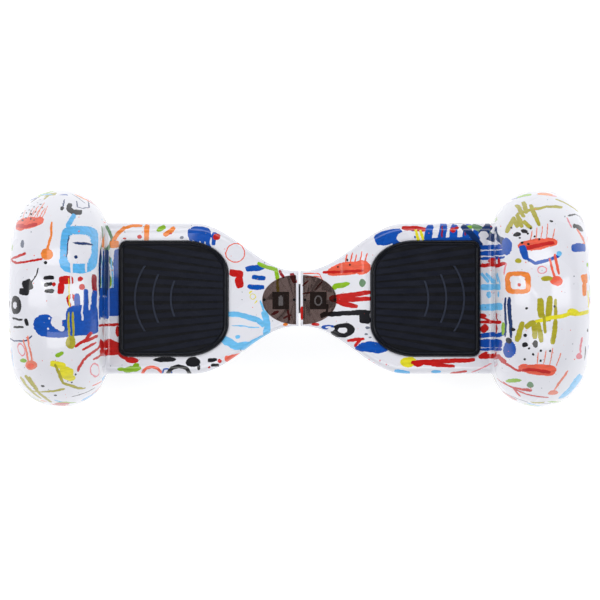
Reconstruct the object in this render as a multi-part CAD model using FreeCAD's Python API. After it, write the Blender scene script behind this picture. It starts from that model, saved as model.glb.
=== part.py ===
"""Self-balancing two-wheel board with ten-inch air tyres, written as an assembly of separate pieces.

Frame: millimetres, +Z up, X along the axle from the left half to the right half, Y from front to back.
The origin is on the ground, midway between the wheels. Each half stands on one hub-motor wheel, and the
halves twist against each other on a steel tube that lies on the axle line.
Pieces are drawn for the right half (x > 0) and mirrored for the left half.
"""

import FreeCAD
import Part
import math
import os
from FreeCAD import Vector

# --- driving dimensions -----------------------------------------------------------------------------------
TYRE_RADIUS = 125.0
AXLE_Z = TYRE_RADIUS
WHEEL_X = 295.5            # wheel centre plane
WALL = 2.4                 # top shell wall
BOTTOM_WALL = 3.8          # the bottom shell takes the knocks
HALF_GAP = 1.1             # half the slot between the two halves
PARTING_Z = 121.0          # where top and bottom shells meet
PARTING_GAP = 0.4

FENDER_RADIUS = 134.0      # crown of the wheel arch
FENDER_HALF_WIDTH = 58.0
FENDER_CROWN = 52.0        # radial drop from the crown to the side walls
FENDER_LIP_RADIUS = 88.0   # open outer side of the arch
CREASE_RADIUS = 6.0        # hollow where the arch rises from the deck

NECK_HALF_DEPTH = 34.0
DECK_HALF_DEPTH = 92.5
OUTLINE_START_X = 5.0      # the plan outline swells from the neck to the deck between these
OUTLINE_END_X = 130.0
NECK_TOP_Z = 155.0
DECK_TOP_Z = 159.0
NECK_BOTTOM_Z = 93.0
DECK_BOTTOM_Z = 62.0
FLAT_BOTTOM_Z = 62.4       # the underside is dressed flat here
NECK_ROUNDS = (8.0, 24.0)  # corner radii of the body's section, top and bottom
DECK_ROUNDS = (12.0, 18.0)
CAVITY_END_X = WHEEL_X - FENDER_HALF_WIDTH
BODY_END_X = CAVITY_END_X + 2.5   # outer face of the body's end wall
LOFT_END_X = 262.0         # the body's loft runs on into the arch

PAD_INNER_X = 87.5
PAD_OUTER_X = 221.5
PAD_HALF_DEPTH = 71.0
PAD_INNER_CORNER = (54.0, 40.0)   # semi-axes of the elliptical inner corners
PAD_OUTER_CORNER = 10.0
PAD_RIM = 5.0
RIB_PITCH = 8.2
RIB_FAN = 1.7              # degrees that each rib turns from the one before
PAD_GAP = 0.8
PAD_TRAVEL = 1.5
POCKET_FLOOR_Z = 154.0
POCKET_FLOOR = 2.0
PAD_BOTTOM_Z = POCKET_FLOOR_Z + PAD_TRAVEL + 0.3
PAD_TOP_Z = DECK_TOP_Z + 4.5
POSTS = [(125.0, -42.0), (125.0, 42.0), (185.0, -42.0), (185.0, 42.0)]

COVER_EDGE_X = 4.2         # smoked indicator cover: flat edge, then half an ellipse
COVER_LENGTH = 41.5
COVER_HALF_DEPTH = 30.2
COVER_Y = -1.5             # the ellipse's centre line
COVER_THICKNESS = 2.0
COVER_FLOOR_Z = NECK_TOP_Z - 1.7
PEG_RADIUS = 1.0
DISPLAY_X = 23.0
DISPLAY_Y = -2.5
DISPLAY_SIZE = (20.0, 21.0)

TUBE_RADIUS = 16.0
TUBE_WALL = 3.0
TUBE_END_X = 78.0
BUSH_RADIUS = 19.0
SOCKET_RADIUS = 21.5
SOCKET_X = (6.0, 72.0)
CLIP_SPACE_X = (SOCKET_X[1], 94.0)   # cleared for the circlip, the bush flange and the cable's plug
SLEEVE_RADIUS = 18.2
TWIST_LIMIT = 15.0         # degrees each way, set by the stop pin in its slot
STOP_PIN_X = 45.0
STOP_PIN_RADIUS = 3.5
STOP_PIN_REACH = 2.4       # how deep the pin stands in the tube's wall
GROOVE_X = (73.0, 74.6)    # the circlip's groove in the tube
RUNNING_CLEARANCE = 0.05

PLATE_Z = (112.0, 117.0)   # the casting's main plate
FRAME_BOTTOM_Z = 98.0
SKIRT_X = 114.0            # the casting's walls reach lower beyond this
SKIRT_BOTTOM_Z = 75.0
FRAME_INSET = 7.5          # the casting lies this far inside the shell's outline
FRAME_WALL = 5.0
FRAME_X = (60.0, 234.0)
CLAMP_X = (198.0, 225.0)
CLAMP_HALF_DEPTH = 30.0
CLAMP_TOP_Z = 142.0
AXLE_END_RADIUS = 8.0
AXLE_FLAT = 6.5            # half the distance across the axle's flats
AXLE_HOLE_RADIUS = 20.0    # where the axle passes the body's end wall
SHELL_SCREWS = [(95.0, 50.0), (150.0, 70.0), (204.0, 66.0)]
TOP_SCREWS = [(96.0, 65.5), (214.0, 76.8)]
SCREW_SEAT_Z = 84.0        # where the bottom shell's screw heads bear
SCREW_LENGTH = 22.0
SCREW_RADIUS = 1.8
CLAMP_SCREW_RADIUS = 2.5
CLAMP_SCREW_LENGTH = 30.0

RIM_RADIUS = 84.0
RIM_HALF_WIDTH = 30.0
COVER_FACE = 35.0          # hub cover's outer face from the wheel centre plane
AXLE_RADIUS = 10.0
BEAD_RADIUS = 78.0         # where the tyre sits in the rim
VALVE_OFFSET = 71.0        # the valve stands this far below the axle
HUB_SCREW_CIRCLE = 72.0
BEARING = (7.5, 17.5, 11.0)   # bore radius, outer radius, width
STATOR_TEETH = 27

LAMP_X = (134.0, 190.0)
LAMP_Z = (88.0, 105.0)
BUTTON_X = 156.0
CHARGE_X = 196.0
REAR_FITTING_Z = 106.0
MAIN_BOARD_Z = 104.0       # top face of the control board
SENSOR_BOARD_Z = 136.0
SWITCH_SEAT_Y = 91.7       # floor of the counterbore that holds the switch's ring
SOCKET_SEAT_Y = 89.0       # floor of the recess that holds the charging socket
SOCKET_RECESS_RADIUS = 13.2
CAP_HINGE = (92.4, REAR_FITTING_Z - 14.0)   # y and z of the charging cap's hinge line
BATTERY = ((105.0, 195.0), (-40.0, 40.0), (72.0, 112.0))
SWITCH_BARREL = 8.35
SOCKET_BARREL = 8.0
SOCKET_BORE = 6.6

SYMMETRY = (Vector(0, 0, 0), Vector(1, 0, 0))


# --- small helpers -----------------------------------------------------------------------------------------
def box(x, y, z):
    """A box from three (low, high) pairs."""
    return Part.makeBox(x[1] - x[0], y[1] - y[0], z[1] - z[0], Vector(x[0], y[0], z[0]))


def cyl_x(radius, x, y=0.0, z=AXLE_Z):
    return Part.makeCylinder(radius, x[1] - x[0], Vector(x[0], y, z), Vector(1, 0, 0))


def cyl_y(radius, y, x, z):
    return Part.makeCylinder(radius, y[1] - y[0], Vector(x, y[0], z), Vector(0, 1, 0))


def cyl_z(radius, z, x, y):
    return Part.makeCylinder(radius, z[1] - z[0], Vector(x, y, z[0]))


def fuse(first, *others):
    return first.multiFuse(list(others)).removeSplitter()


def group(*solids):
    """Several separate solids in one node."""
    return Part.makeCompound(list(solids))


def mirrored(shape):
    return shape.mirror(*SYMMETRY)


def ramp(x, start, end):
    """0 before start, 1 after end, a cosine between."""
    t = min(max((x - start) / (end - start), 0.0), 1.0)
    return (1 - math.cos(math.pi * t)) / 2


def half_depth(x):
    return NECK_HALF_DEPTH + (DECK_HALF_DEPTH - NECK_HALF_DEPTH) * ramp(x, OUTLINE_START_X, OUTLINE_END_X)


def top_z(x):
    return NECK_TOP_Z + (DECK_TOP_Z - NECK_TOP_Z) * ramp(x, 46.0, 84.0)


def bottom_z(x):
    return NECK_BOTTOM_Z + (DECK_BOTTOM_Z - NECK_BOTTOM_Z) * ramp(x, 15.0, 140.0)


def polygon_revolved(points):
    """Turns a closed outline of (offset from the wheel plane, radius) about the axle."""
    corners = [Vector(WHEEL_X + o, 0, AXLE_Z + r) for o, r in points]
    face = Part.Face(Part.makePolygon(corners + corners[:1]))
    return face.revolve(Vector(0, 0, AXLE_Z), Vector(1, 0, 0), 360)


# --- shells ------------------------------------------------------------------------------------------------
def body_section(x, inset):
    """One cross-section of the body: a box with rounded corners, inset from the outer skin."""
    d = half_depth(x) - inset
    hi, lo = top_z(x) - inset, bottom_z(x) + inset
    swell = ramp(x, OUTLINE_START_X, OUTLINE_END_X)
    rt = NECK_ROUNDS[0] + (DECK_ROUNDS[0] - NECK_ROUNDS[0]) * swell - inset
    rb = NECK_ROUNDS[1] + (DECK_ROUNDS[1] - NECK_ROUNDS[1]) * swell - inset
    c = math.sqrt(0.5)

    def corner(y, z, r, sy, sz):
        start, end = Vector(x, y + sy * r, z), Vector(x, y, z + sz * r)
        middle = Vector(x, y + sy * r * c, z + sz * r * c)
        return start, middle, end

    ends = [
        corner(d - rt, hi - rt, rt, 1, 1),
        corner(-(d - rt), hi - rt, rt, -1, 1),
        corner(-(d - rb), lo + rb, rb, -1, -1),
        corner(d - rb, lo + rb, rb, 1, -1),
    ]
    ends[1] = ends[1][::-1]
    ends[3] = ends[3][::-1]
    edges = []
    for index, (start, middle, end) in enumerate(ends):
        edges.append(Part.Arc(start, middle, end).toShape())
        edges.append(Part.makeLine(end, ends[(index + 1) % 4][0]))
    return Part.Wire(edges)


def body_loft(x_from, x_to, inset):
    count = round((x_to - x_from) / 12)
    stations = [x_from + (x_to - x_from) * n / count for n in range(count + 1)]
    return Part.makeLoft([body_section(x, inset) for x in stations], True, False, False, 3)


def fender_profile(shrink):
    """The arch's crown: half an ellipse between the two side walls."""
    a, b = FENDER_HALF_WIDTH - shrink, FENDER_CROWN - shrink
    centre = Vector(WHEEL_X, 0, AXLE_Z + FENDER_RADIUS - FENDER_CROWN)
    ellipse = Part.Ellipse(centre + Vector(a, 0, 0), centre + Vector(0, 0, b), centre)
    crown = Part.ArcOfEllipse(ellipse, 0, math.pi).toShape()
    right, left = centre + Vector(a, 0, 0), centre - Vector(a, 0, 0)
    foot = -centre.z + AXLE_Z
    points = [left, left + Vector(0, 0, foot), right + Vector(0, 0, foot), right]
    lines = [Part.makeLine(p, q) for p, q in zip(points, points[1:])]
    return Part.Face(Part.Wire([crown] + lines))


def fender_solid(shrink):
    return fender_profile(shrink).revolve(Vector(0, 0, AXLE_Z), Vector(1, 0, 0), 360)


def pad_outline(grow, z):
    """The foot pad's D shape, grown by an offset."""
    x0, x1, d = PAD_INNER_X - grow, PAD_OUTER_X + grow, PAD_HALF_DEPTH + grow
    a, b = PAD_INNER_CORNER[0] + grow, PAD_INNER_CORNER[1] + grow
    r = PAD_OUTER_CORNER + grow
    c = math.sqrt(0.5)
    edges = []
    for side in (1, -1):
        centre = Vector(x0 + a, side * (d - b), z)
        ellipse = Part.Ellipse(centre + Vector(a, 0, 0), centre + Vector(0, b, 0), centre)
        spans = (math.pi / 2, math.pi) if side > 0 else (math.pi, 1.5 * math.pi)
        edges.append(Part.ArcOfEllipse(ellipse, *spans).toShape())
        edges.append(Part.makeLine(Vector(x0 + a, side * d, z), Vector(x1 - r, side * d, z)))
        middle = Vector(x1 - r + r * c, side * (d - r + r * c), z)
        edges.append(Part.Arc(Vector(x1 - r, side * d, z), middle, Vector(x1, side * (d - r), z)).toShape())
    edges.append(Part.makeLine(Vector(x0, d - b, z), Vector(x0, b - d, z)))
    edges.append(Part.makeLine(Vector(x1, d - r, z), Vector(x1, r - d, z)))
    return Part.Face(Part.Wire(Part.__sortEdges__(edges)))


def pad_prism(grow, z):
    return pad_outline(grow, z[0]).extrude(Vector(0, 0, z[1] - z[0]))


def cover_prism(grow, z):
    """Half an ellipse beside the slot: the smoked cover's plan."""
    x0 = COVER_EDGE_X - grow
    cutter = box((x0, 90), (-60, 60), z)
    centre = Vector(COVER_EDGE_X, COVER_Y, z[0])
    ellipse = Part.Ellipse(centre, COVER_LENGTH + grow, COVER_HALF_DEPTH + grow)
    disc = Part.Face(Part.Wire(ellipse.toShape())).extrude(Vector(0, 0, z[1] - z[0]))
    return disc.common(cutter)


def display_block(grow, z):
    w, d = DISPLAY_SIZE
    return box(
        (DISPLAY_X - w / 2 - grow, DISPLAY_X + w / 2 + grow),
        (DISPLAY_Y - d / 2 - grow, DISPLAY_Y + d / 2 + grow),
        z,
    )


def wheel_well():
    """The space that the wheel turns in, open below and at the outer side."""
    well = fender_solid(WALL + 0.1)
    side = cyl_x(FENDER_LIP_RADIUS, (WHEEL_X, WHEEL_X + 90))
    return fuse(well, side)


def outer_skin():
    """Deck and wheel arch as one solid, with the crease between them hollowed to a radius."""
    below_crease = PARTING_Z - 20.0
    arch = fender_solid(0.0)
    upper = body_loft(HALF_GAP, LOFT_END_X, 0.0).fuse(arch).removeSplitter()
    upper = upper.common(box((-1, 400), (-200, 200), (below_crease, 400)))
    across_deck = [
        e for e in upper.Edges
        if e.BoundBox.XMin > WHEEL_X - FENDER_HALF_WIDTH - 1 and e.BoundBox.XMax < BODY_END_X
        and e.BoundBox.YLength > 100 and abs(e.BoundBox.ZMin - DECK_TOP_Z) < 1
    ]
    return upper.makeFillet(CREASE_RADIUS, across_deck)


def body_cavity(wall):
    return body_loft(HALF_GAP + 3.0, CAVITY_END_X, wall)


def top_shell(skin):
    above = box((-1, 400), (-200, 200), (PARTING_Z + PARTING_GAP / 2, 400))
    shell = skin.common(above).cut(body_cavity(WALL))
    pocket_tub = pad_prism(PAD_GAP + WALL, (POCKET_FLOOR_Z - POCKET_FLOOR, DECK_TOP_Z - 1.0))
    cover_tub = cover_prism(1.5, (COVER_FLOOR_Z - 2.0, NECK_TOP_Z - 0.5))
    bosses = [
        cyl_z(4.5, (PLATE_Z[1], DECK_TOP_Z - 1.5), x, side * y) for x, y in TOP_SCREWS for side in (1, -1)
    ]
    pilot_top = PLATE_Z[0] + SCREW_LENGTH
    pilots = [
        cyl_z(SCREW_RADIUS, (PLATE_Z[1], pilot_top), x, side * y) for x, y in TOP_SCREWS for side in (1, -1)
    ]
    shell = fuse(shell, pocket_tub, cover_tub, *bosses)
    cuts = [
        pad_prism(PAD_GAP, (POCKET_FLOOR_Z, DECK_TOP_Z + 5)),
        cover_prism(0.2, (COVER_FLOOR_Z, NECK_TOP_Z + 5)),
        display_block(0.3, (COVER_FLOOR_Z - 4, COVER_FLOOR_Z + 1)),
        wheel_well(),
        cyl_x(SLEEVE_RADIUS + 0.6, (0, 9)),
        cyl_x(AXLE_HOLE_RADIUS, (CAVITY_END_X - 1, BODY_END_X + 3)),
    ]
    cuts += [cyl_z(6.0, (POCKET_FLOOR_Z - 8, POCKET_FLOOR_Z + 1), x, y) for x, y in POSTS]
    cuts += [cyl_z(PEG_RADIUS, (COVER_FLOOR_Z - 4, COVER_FLOOR_Z + 1), x, COVER_Y) for x in peg_places()]
    return shell.cut(Part.makeCompound(cuts + pilots)).removeSplitter()


def bottom_shell(rear_fittings):
    below = box((-1, BODY_END_X), (-200, 200), (0, PARTING_Z - PARTING_GAP / 2))
    shell = body_loft(HALF_GAP, LOFT_END_X, 0.0).common(below).cut(body_cavity(BOTTOM_WALL))
    bosses, cuts = [], []
    for x, y in SHELL_SCREWS:
        for side in (1, -1):
            bosses.append(cyl_z(6.5, (bottom_z(x) + 1.0, FRAME_BOTTOM_Z - 0.3), x, side * y))
            cuts.append(cyl_z(SCREW_RADIUS + 0.3, (0, FRAME_BOTTOM_Z + 1), x, side * y))
            cuts.append(cyl_z(4.6, (0, SCREW_SEAT_Z), x, side * y))
    shell = fuse(shell, *bosses)
    cuts += [cyl_x(SLEEVE_RADIUS + 0.6, (0, 9)), cyl_x(AXLE_HOLE_RADIUS, (CAVITY_END_X - 1, BODY_END_X + 3))]
    cuts.append(lamp_prism(0.25, (-96, -84)))
    cuts.append(box((90, BODY_END_X + 1), (-100, 100), (0, FLAT_BOTTOM_Z)))
    if rear_fittings:
        shell = fuse(shell, *socket_tub())
        cuts.append(cyl_y(SWITCH_BARREL + 0.05, (84, 96), BUTTON_X, REAR_FITTING_Z))
        cuts.append(cyl_y(11.3, (SWITCH_SEAT_Y, 96), BUTTON_X, REAR_FITTING_Z))
        cuts.append(cyl_y(SOCKET_BARREL + 0.1, (84, 96), CHARGE_X, REAR_FITTING_Z))
        cuts.append(cyl_y(SOCKET_RECESS_RADIUS, (SOCKET_SEAT_Y, 96), CHARGE_X, REAR_FITTING_Z))
        hinge_space = (CAP_HINGE[1] - 2.4, REAR_FITTING_Z)
        cuts.append(box((CHARGE_X - 8.2, CHARGE_X + 8.2), (SOCKET_SEAT_Y, 96), hinge_space))
    return shell.cut(Part.makeCompound(cuts)).removeSplitter()


def socket_tub():
    """Thickening behind the recess that the charging socket and its cap sit in."""
    y = (DECK_HALF_DEPTH - FRAME_INSET + 0.2, SOCKET_SEAT_Y + 1.0)
    round_part = cyl_y(SOCKET_RECESS_RADIUS + 1.4, y, CHARGE_X, REAR_FITTING_Z)
    hinge_part = box((CHARGE_X - 10, CHARGE_X + 10), y, (CAP_HINGE[1] - 4.5, REAR_FITTING_Z))
    return round_part, hinge_part


# --- centre pivot ------------------------------------------------------------------------------------------
def pivot_tube():
    tube = cyl_x(TUBE_RADIUS, (-TUBE_END_X, TUBE_END_X)).cut(cyl_x(TUBE_RADIUS - TUBE_WALL, (-90, 90)))
    groove = cyl_x(TUBE_RADIUS + 1, GROOVE_X).cut(cyl_x(TUBE_RADIUS - 1.0, (72, 76)))
    pin_half_angle = math.degrees(math.asin(STOP_PIN_RADIUS / (TUBE_RADIUS - STOP_PIN_REACH)))
    half_angle = pin_half_angle + TWIST_LIMIT + 0.4
    half_width = STOP_PIN_RADIUS + 0.2
    start = Vector(STOP_PIN_X - half_width, 0, AXLE_Z)
    slot = Part.makeCylinder(TUBE_RADIUS + 2, 2 * half_width, start, Vector(1, 0, 0), 2 * half_angle)
    # makeCylinder starts its sector away from +Z, so it is turned until the slot is centred on the top
    middle = slot.CenterOfMass
    turn = math.degrees(math.atan2(middle.y, middle.z - AXLE_Z))
    slot.rotate(Vector(0, 0, AXLE_Z), Vector(1, 0, 0), turn)
    return tube.cut(groove).cut(slot)


def pivot_sleeve():
    ring = cyl_x(SLEEVE_RADIUS, (-SOCKET_X[0], SOCKET_X[0] - 0.8))
    return ring.cut(cyl_x(TUBE_RADIUS, (-9, 9)))


def pivot_bushes():
    """Flanged bushes at both ends of the socket; the tube turns in them."""
    (x0, x1), flange = SOCKET_X, 0.6
    bodies = [cyl_x(BUSH_RADIUS, (x0, x0 + 24)), cyl_x(BUSH_RADIUS, (x1 - 20, x1))]
    rims = [cyl_x(SOCKET_RADIUS - 0.5, (x0 - 0.3, x0)), cyl_x(SOCKET_RADIUS - 0.5, (x1, x1 + flange))]
    bore = cyl_x(TUBE_RADIUS + RUNNING_CLEARANCE, (0, 90))
    return group(*[fuse(body, rim).cut(bore) for body, rim in zip(bodies, rims)])


def pivot_circlip():
    inside_groove = (GROOVE_X[0] + 0.1, GROOVE_X[1] - 0.1)
    ring = cyl_x(TUBE_RADIUS + 2.6, inside_groove).cut(cyl_x(TUBE_RADIUS - 0.9, (70, 80)))
    return ring.cut(box((70, 80), (-3, 3), (AXLE_Z, AXLE_Z + 40)))


def stop_pin():
    seat = AXLE_Z + SOCKET_RADIUS
    shank = cyl_z(STOP_PIN_RADIUS, (AXLE_Z + TUBE_RADIUS - STOP_PIN_REACH, seat), STOP_PIN_X, 0)
    head = cyl_z(STOP_PIN_RADIUS + 2.0, (seat, seat + 1.4), STOP_PIN_X, 0)
    return fuse(shank, head)


# --- chassis -----------------------------------------------------------------------------------------------
def frame_plan(inset, z):
    """The casting's plan: the shell's outline, inset, as a prism."""
    thickness = inset - FRAME_INSET
    x0, x1 = FRAME_X[0] + (inset if thickness > 0 else 0), FRAME_X[1] - thickness
    stations = [x0 + (x1 - x0) * n / 14 for n in range(15)]
    near = [Vector(x, -(half_depth(x) - inset), z[0]) for x in stations]
    far = [Vector(x, half_depth(x) - inset, z[0]) for x in stations]
    curves = []
    for points in (near, far):
        curve = Part.BSplineCurve()
        curve.interpolate(points)
        curves.append(curve.toShape())
    ends = [Part.makeLine(near[0], far[0]), Part.makeLine(near[-1], far[-1])]
    face = Part.Face(Part.Wire(Part.__sortEdges__(curves + ends)))
    return face.extrude(Vector(0, 0, z[1] - z[0]))


def axle_end(grow=0.0):
    """The flatted end of the axle, held in the clamp."""
    x = (CLAMP_X[0] - 2.0, WHEEL_X - 62.0)
    across = box((x[0], x[1]), (-20, 20), (AXLE_Z - AXLE_FLAT - grow, AXLE_Z + AXLE_FLAT + grow))
    return cyl_x(AXLE_END_RADIUS + grow, x).common(across)


def clamp_screw_places():
    return [(x, side * 21.0) for x in (CLAMP_X[0] + 8, CLAMP_X[1] - 8) for side in (1, -1)]


def frame_wall(z, x_from):
    """The casting's outer wall, open below."""
    ring = frame_plan(FRAME_INSET, z).cut(frame_plan(FRAME_INSET + FRAME_WALL, (z[0] - 1, z[1] + 1)))
    return ring.common(box((x_from, 300), (-100, 100), z))


def chassis(bore_radius, carries_boards):
    """Cast frame of one half: plate, walls, pivot socket and axle saddle."""
    plate = frame_plan(FRAME_INSET, PLATE_Z)
    walls = [
        frame_wall((FRAME_BOTTOM_Z, PLATE_Z[0]), 0),
        frame_wall((SKIRT_BOTTOM_Z, FRAME_BOTTOM_Z), SKIRT_X),
    ]
    block = box((56, SOCKET_X[1]), (-44, 44), (FRAME_BOTTOM_Z, PLATE_Z[1]))
    socket = cyl_x(SOCKET_RADIUS, SOCKET_X)
    saddle = box(CLAMP_X, (-CLAMP_HALF_DEPTH, CLAMP_HALF_DEPTH), (FRAME_BOTTOM_Z, AXLE_Z))
    ribs = [box((72, 230), (side * 60 - 1.5, side * 60 + 1.5), (102, PLATE_Z[0])) for side in (1, -1)]
    fins = [box((28, 58), (side * 24.5 - 2, side * 24.5 + 2), (106, 124)) for side in (1, -1)]
    web = box((28, 58), (-26, 26), PLATE_Z)
    bosses = [
        cyl_z(5.0, (FRAME_BOTTOM_Z, PLATE_Z[0]), x, side * y) for x, y in SHELL_SCREWS for side in (1, -1)
    ]
    stands = [cyl_z(3.6, (PLATE_Z[1], SENSOR_BOARD_Z), x, y) for x, y in sensor_posts()]
    if carries_boards:
        stands += [cyl_z(4.0, (MAIN_BOARD_Z, PLATE_Z[0]), x, y) for x, y in board_posts()]
    casting = fuse(plate, *walls, block, socket, saddle, *ribs, *fins, web, *bosses, *stands)
    cuts = [
        cyl_x(bore_radius, (0, 90)),
        axle_end(),
        box((CLAMP_X[1], 240), (-20, 20), (106, 130)),
        box(CLIP_SPACE_X, (-23, 23), (PLATE_Z[0] - 1, PLATE_Z[1] + 1)),
        cyl_x(SOCKET_RADIUS + 1.0, CLIP_SPACE_X),
    ]
    screw_tip = SCREW_SEAT_Z + SCREW_LENGTH
    through_plate = (PLATE_Z[0] - 1, PLATE_Z[1] + 1)
    for side in (1, -1):
        cuts += [cyl_z(SCREW_RADIUS, (90, screw_tip), x, side * y) for x, y in SHELL_SCREWS]
        cuts += [cyl_z(SCREW_RADIUS + 0.3, through_plate, x, side * y) for x, y in TOP_SCREWS]
        cuts += [cyl_z(4.2, (70, PLATE_Z[0]), x, side * y) for x, y in TOP_SCREWS]
        cuts += [cyl_z(11.0, through_plate, x, side * 28) for x in (122, 150)]
    clamp_tip = CLAMP_TOP_Z - CLAMP_SCREW_LENGTH
    cuts += [cyl_z(CLAMP_SCREW_RADIUS, (clamp_tip, AXLE_Z + 1), x, y) for x, y in clamp_screw_places()]
    if bore_radius > TUBE_RADIUS:
        cuts.append(cyl_z(STOP_PIN_RADIUS, (AXLE_Z, AXLE_Z + 30), STOP_PIN_X, 0))
    if carries_boards:
        for x in (BUTTON_X, CHARGE_X):
            for y in ((75.5, 90), (-90, -75.5)):
                cuts.append(box((x - 9.5, x + 9.5), y, (REAR_FITTING_Z - 10, REAR_FITTING_Z + 9.5)))
    return casting.cut(Part.makeCompound(cuts)).removeSplitter()


def axle_clamp():
    block = box(CLAMP_X, (-CLAMP_HALF_DEPTH, CLAMP_HALF_DEPTH), (AXLE_Z, CLAMP_TOP_Z))
    holes = [cyl_z(CLAMP_SCREW_RADIUS + 0.3, (100, 150), x, y) for x, y in clamp_screw_places()]
    return block.cut(Part.makeCompound([axle_end()] + holes))


def screw(radius, head_radius, head_height, seat_z, tip_z, x, y):
    """A socket-head screw with its head's seat at seat_z, pointing up or down to tip_z."""
    way = 1 if tip_z > seat_z else -1
    shank = cyl_z(radius, sorted((seat_z, tip_z)), x, y)
    head = cyl_z(head_radius, sorted((seat_z, seat_z - way * head_height)), x, y)
    key_z = sorted((seat_z - way * head_height, seat_z - way * 0.4 * head_height))
    key = cyl_z(0.5 * head_radius, key_z, x, y)
    return fuse(shank, head).cut(key)


def clamp_screws():
    tip = CLAMP_TOP_Z - CLAMP_SCREW_LENGTH
    places = clamp_screw_places()
    return group(*[screw(CLAMP_SCREW_RADIUS, 4.4, 5.0, CLAMP_TOP_Z, tip, x, y) for x, y in places])


def shell_screws():
    places = [(x, side * y, SCREW_SEAT_Z) for x, y in SHELL_SCREWS for side in (1, -1)]
    places += [(x, side * y, PLATE_Z[0]) for x, y in TOP_SCREWS for side in (1, -1)]
    return group(*[screw(SCREW_RADIUS, 3.5, 2.4, z, z + SCREW_LENGTH, x, y) for x, y, z in places])


# --- foot pad and what it presses --------------------------------------------------------------------------
def foot_pad():
    slab = pad_prism(0.0, (PAD_BOTTOM_Z, DECK_TOP_Z + 1.6))
    rim = pad_prism(0.0, (DECK_TOP_Z, PAD_TOP_Z))
    rim = rim.cut(pad_prism(-PAD_RIM, (DECK_TOP_Z - 1, PAD_TOP_Z + 1)))
    rim = rim.makeFillet(2.0, [e for e in rim.Edges if e.BoundBox.ZMin > PAD_TOP_Z - 0.01])
    inside = pad_prism(-PAD_RIM - 1.2, (DECK_TOP_Z, PAD_TOP_Z))
    ribs = []
    for n in range(-6, 7):
        y = n * RIB_PITCH
        rib = box((60, 240), (y - 3.1, y + 3.1), (DECK_TOP_Z + 1, DECK_TOP_Z + 2.9))
        rib.rotate(Vector(96, y, 0), Vector(0, 0, 1), n * RIB_FAN)
        ribs.append(rib)
    ribs = [rib.common(inside) for rib in ribs]
    arcs = []
    for centre_x, radius, half in ((130.0, 72.0, 34.0), (112.0, 68.0, 26.0), (104.0, 54.0, 24.0)):
        ring = cyl_z(radius + 1.1, (DECK_TOP_Z + 1, DECK_TOP_Z + 3.6), centre_x, 0)
        ring = ring.cut(cyl_z(radius - 1.1, (DECK_TOP_Z, DECK_TOP_Z + 4), centre_x, 0))
        reach = radius * math.sin(math.radians(half))
        arcs.append(ring.common(box((centre_x, 215), (-reach, reach), (DECK_TOP_Z, DECK_TOP_Z + 4))))
    posts = []
    for x, y in POSTS:
        posts.append(cyl_z(4.5, (150.5, PAD_BOTTOM_Z + 1), x, y))
        posts.append(box((x - 1.4, x + 1.4), (y - 2.6, y + 2.6), (146.0, 151.0)))
    return fuse(slab, rim, *ribs, *arcs, *posts)


def sensor_board():
    """Tilt-sensor board on the casting's stands, with one slotted light gate under each pad post."""
    z = SENSOR_BOARD_Z + 1.6
    parts = [box((108, 194), (-52, 52), (SENSOR_BOARD_Z, z))]
    for x, y in POSTS:
        base = box((x - 7.2, x + 7.2), (y - 3, y + 3), (z, z + 2.6))
        pillars = [box((x + s, x + s + 4), (y - 3, y + 3), (z + 2.6, z + 10)) for s in (-7.2, 3.2)]
        parts.append(fuse(base, *pillars))
    parts.append(box((150, 160), (-5, 5), (z, z + 1.8)))
    parts.append(box((164, 174), (-9, 3), (z, z + 5)))
    return group(*parts)


def sensor_posts():
    return [(x, side * 47.0) for x in (112.5, 189.5) for side in (1, -1)]


# --- indicators --------------------------------------------------------------------------------------------
def peg_places():
    return (COVER_EDGE_X + 2.2, COVER_EDGE_X + COVER_LENGTH - 2.4)


def indicator_cover():
    """Smoked lens with a peg at each end that presses into the top shell."""
    lens = cover_prism(-0.1, (COVER_FLOOR_Z, COVER_FLOOR_Z + COVER_THICKNESS))
    face_z = COVER_FLOOR_Z + COVER_THICKNESS
    lens = lens.makeFillet(0.5, [e for e in lens.Edges if e.BoundBox.ZMin > face_z - 0.1])
    pegs = [cyl_z(PEG_RADIUS, (COVER_FLOOR_Z - 2.6, COVER_FLOOR_Z + 1), x, COVER_Y) for x in peg_places()]
    heads = [cyl_z(1.6, (COVER_FLOOR_Z + 1, face_z + 0.25), x, COVER_Y) for x in peg_places()]
    return fuse(lens, *pegs, *heads)


def battery_sign(z):
    body = box((DISPLAY_X - 2.8, DISPLAY_X + 2.8), (DISPLAY_Y - 6.2, DISPLAY_Y + 5.0), z)
    nose = box((DISPLAY_X - 1.3, DISPLAY_X + 1.3), (DISPLAY_Y + 5.0, DISPLAY_Y + 6.4), z)
    return fuse(body, nose)


def running_sign(z):
    """An upright oval ring."""
    centre = Vector(DISPLAY_X, DISPLAY_Y, z[0])
    discs = []
    for tall, wide in ((6.4, 4.9), (4.6, 3.2)):
        ellipse = Part.Ellipse(centre + Vector(0, tall, 0), centre + Vector(wide, 0, 0), centre)
        discs.append(Part.Face(Part.Wire(ellipse.toShape())).extrude(Vector(0, 0, z[1] - z[0])))
    return discs[0].cut(discs[1])


def indicator_module(sign):
    """Display block on its small board, with the lit sign sunk into its face."""
    top = COVER_FLOOR_Z - 0.1
    board = box((DISPLAY_X - 12, DISPLAY_X + 12), (DISPLAY_Y - 12.5, DISPLAY_Y + 12.5), (147.3, 149.2))
    block = display_block(0.0, (149.2, top))
    return fuse(board, block).cut(sign((top - 0.6, top + 1)))


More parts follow.
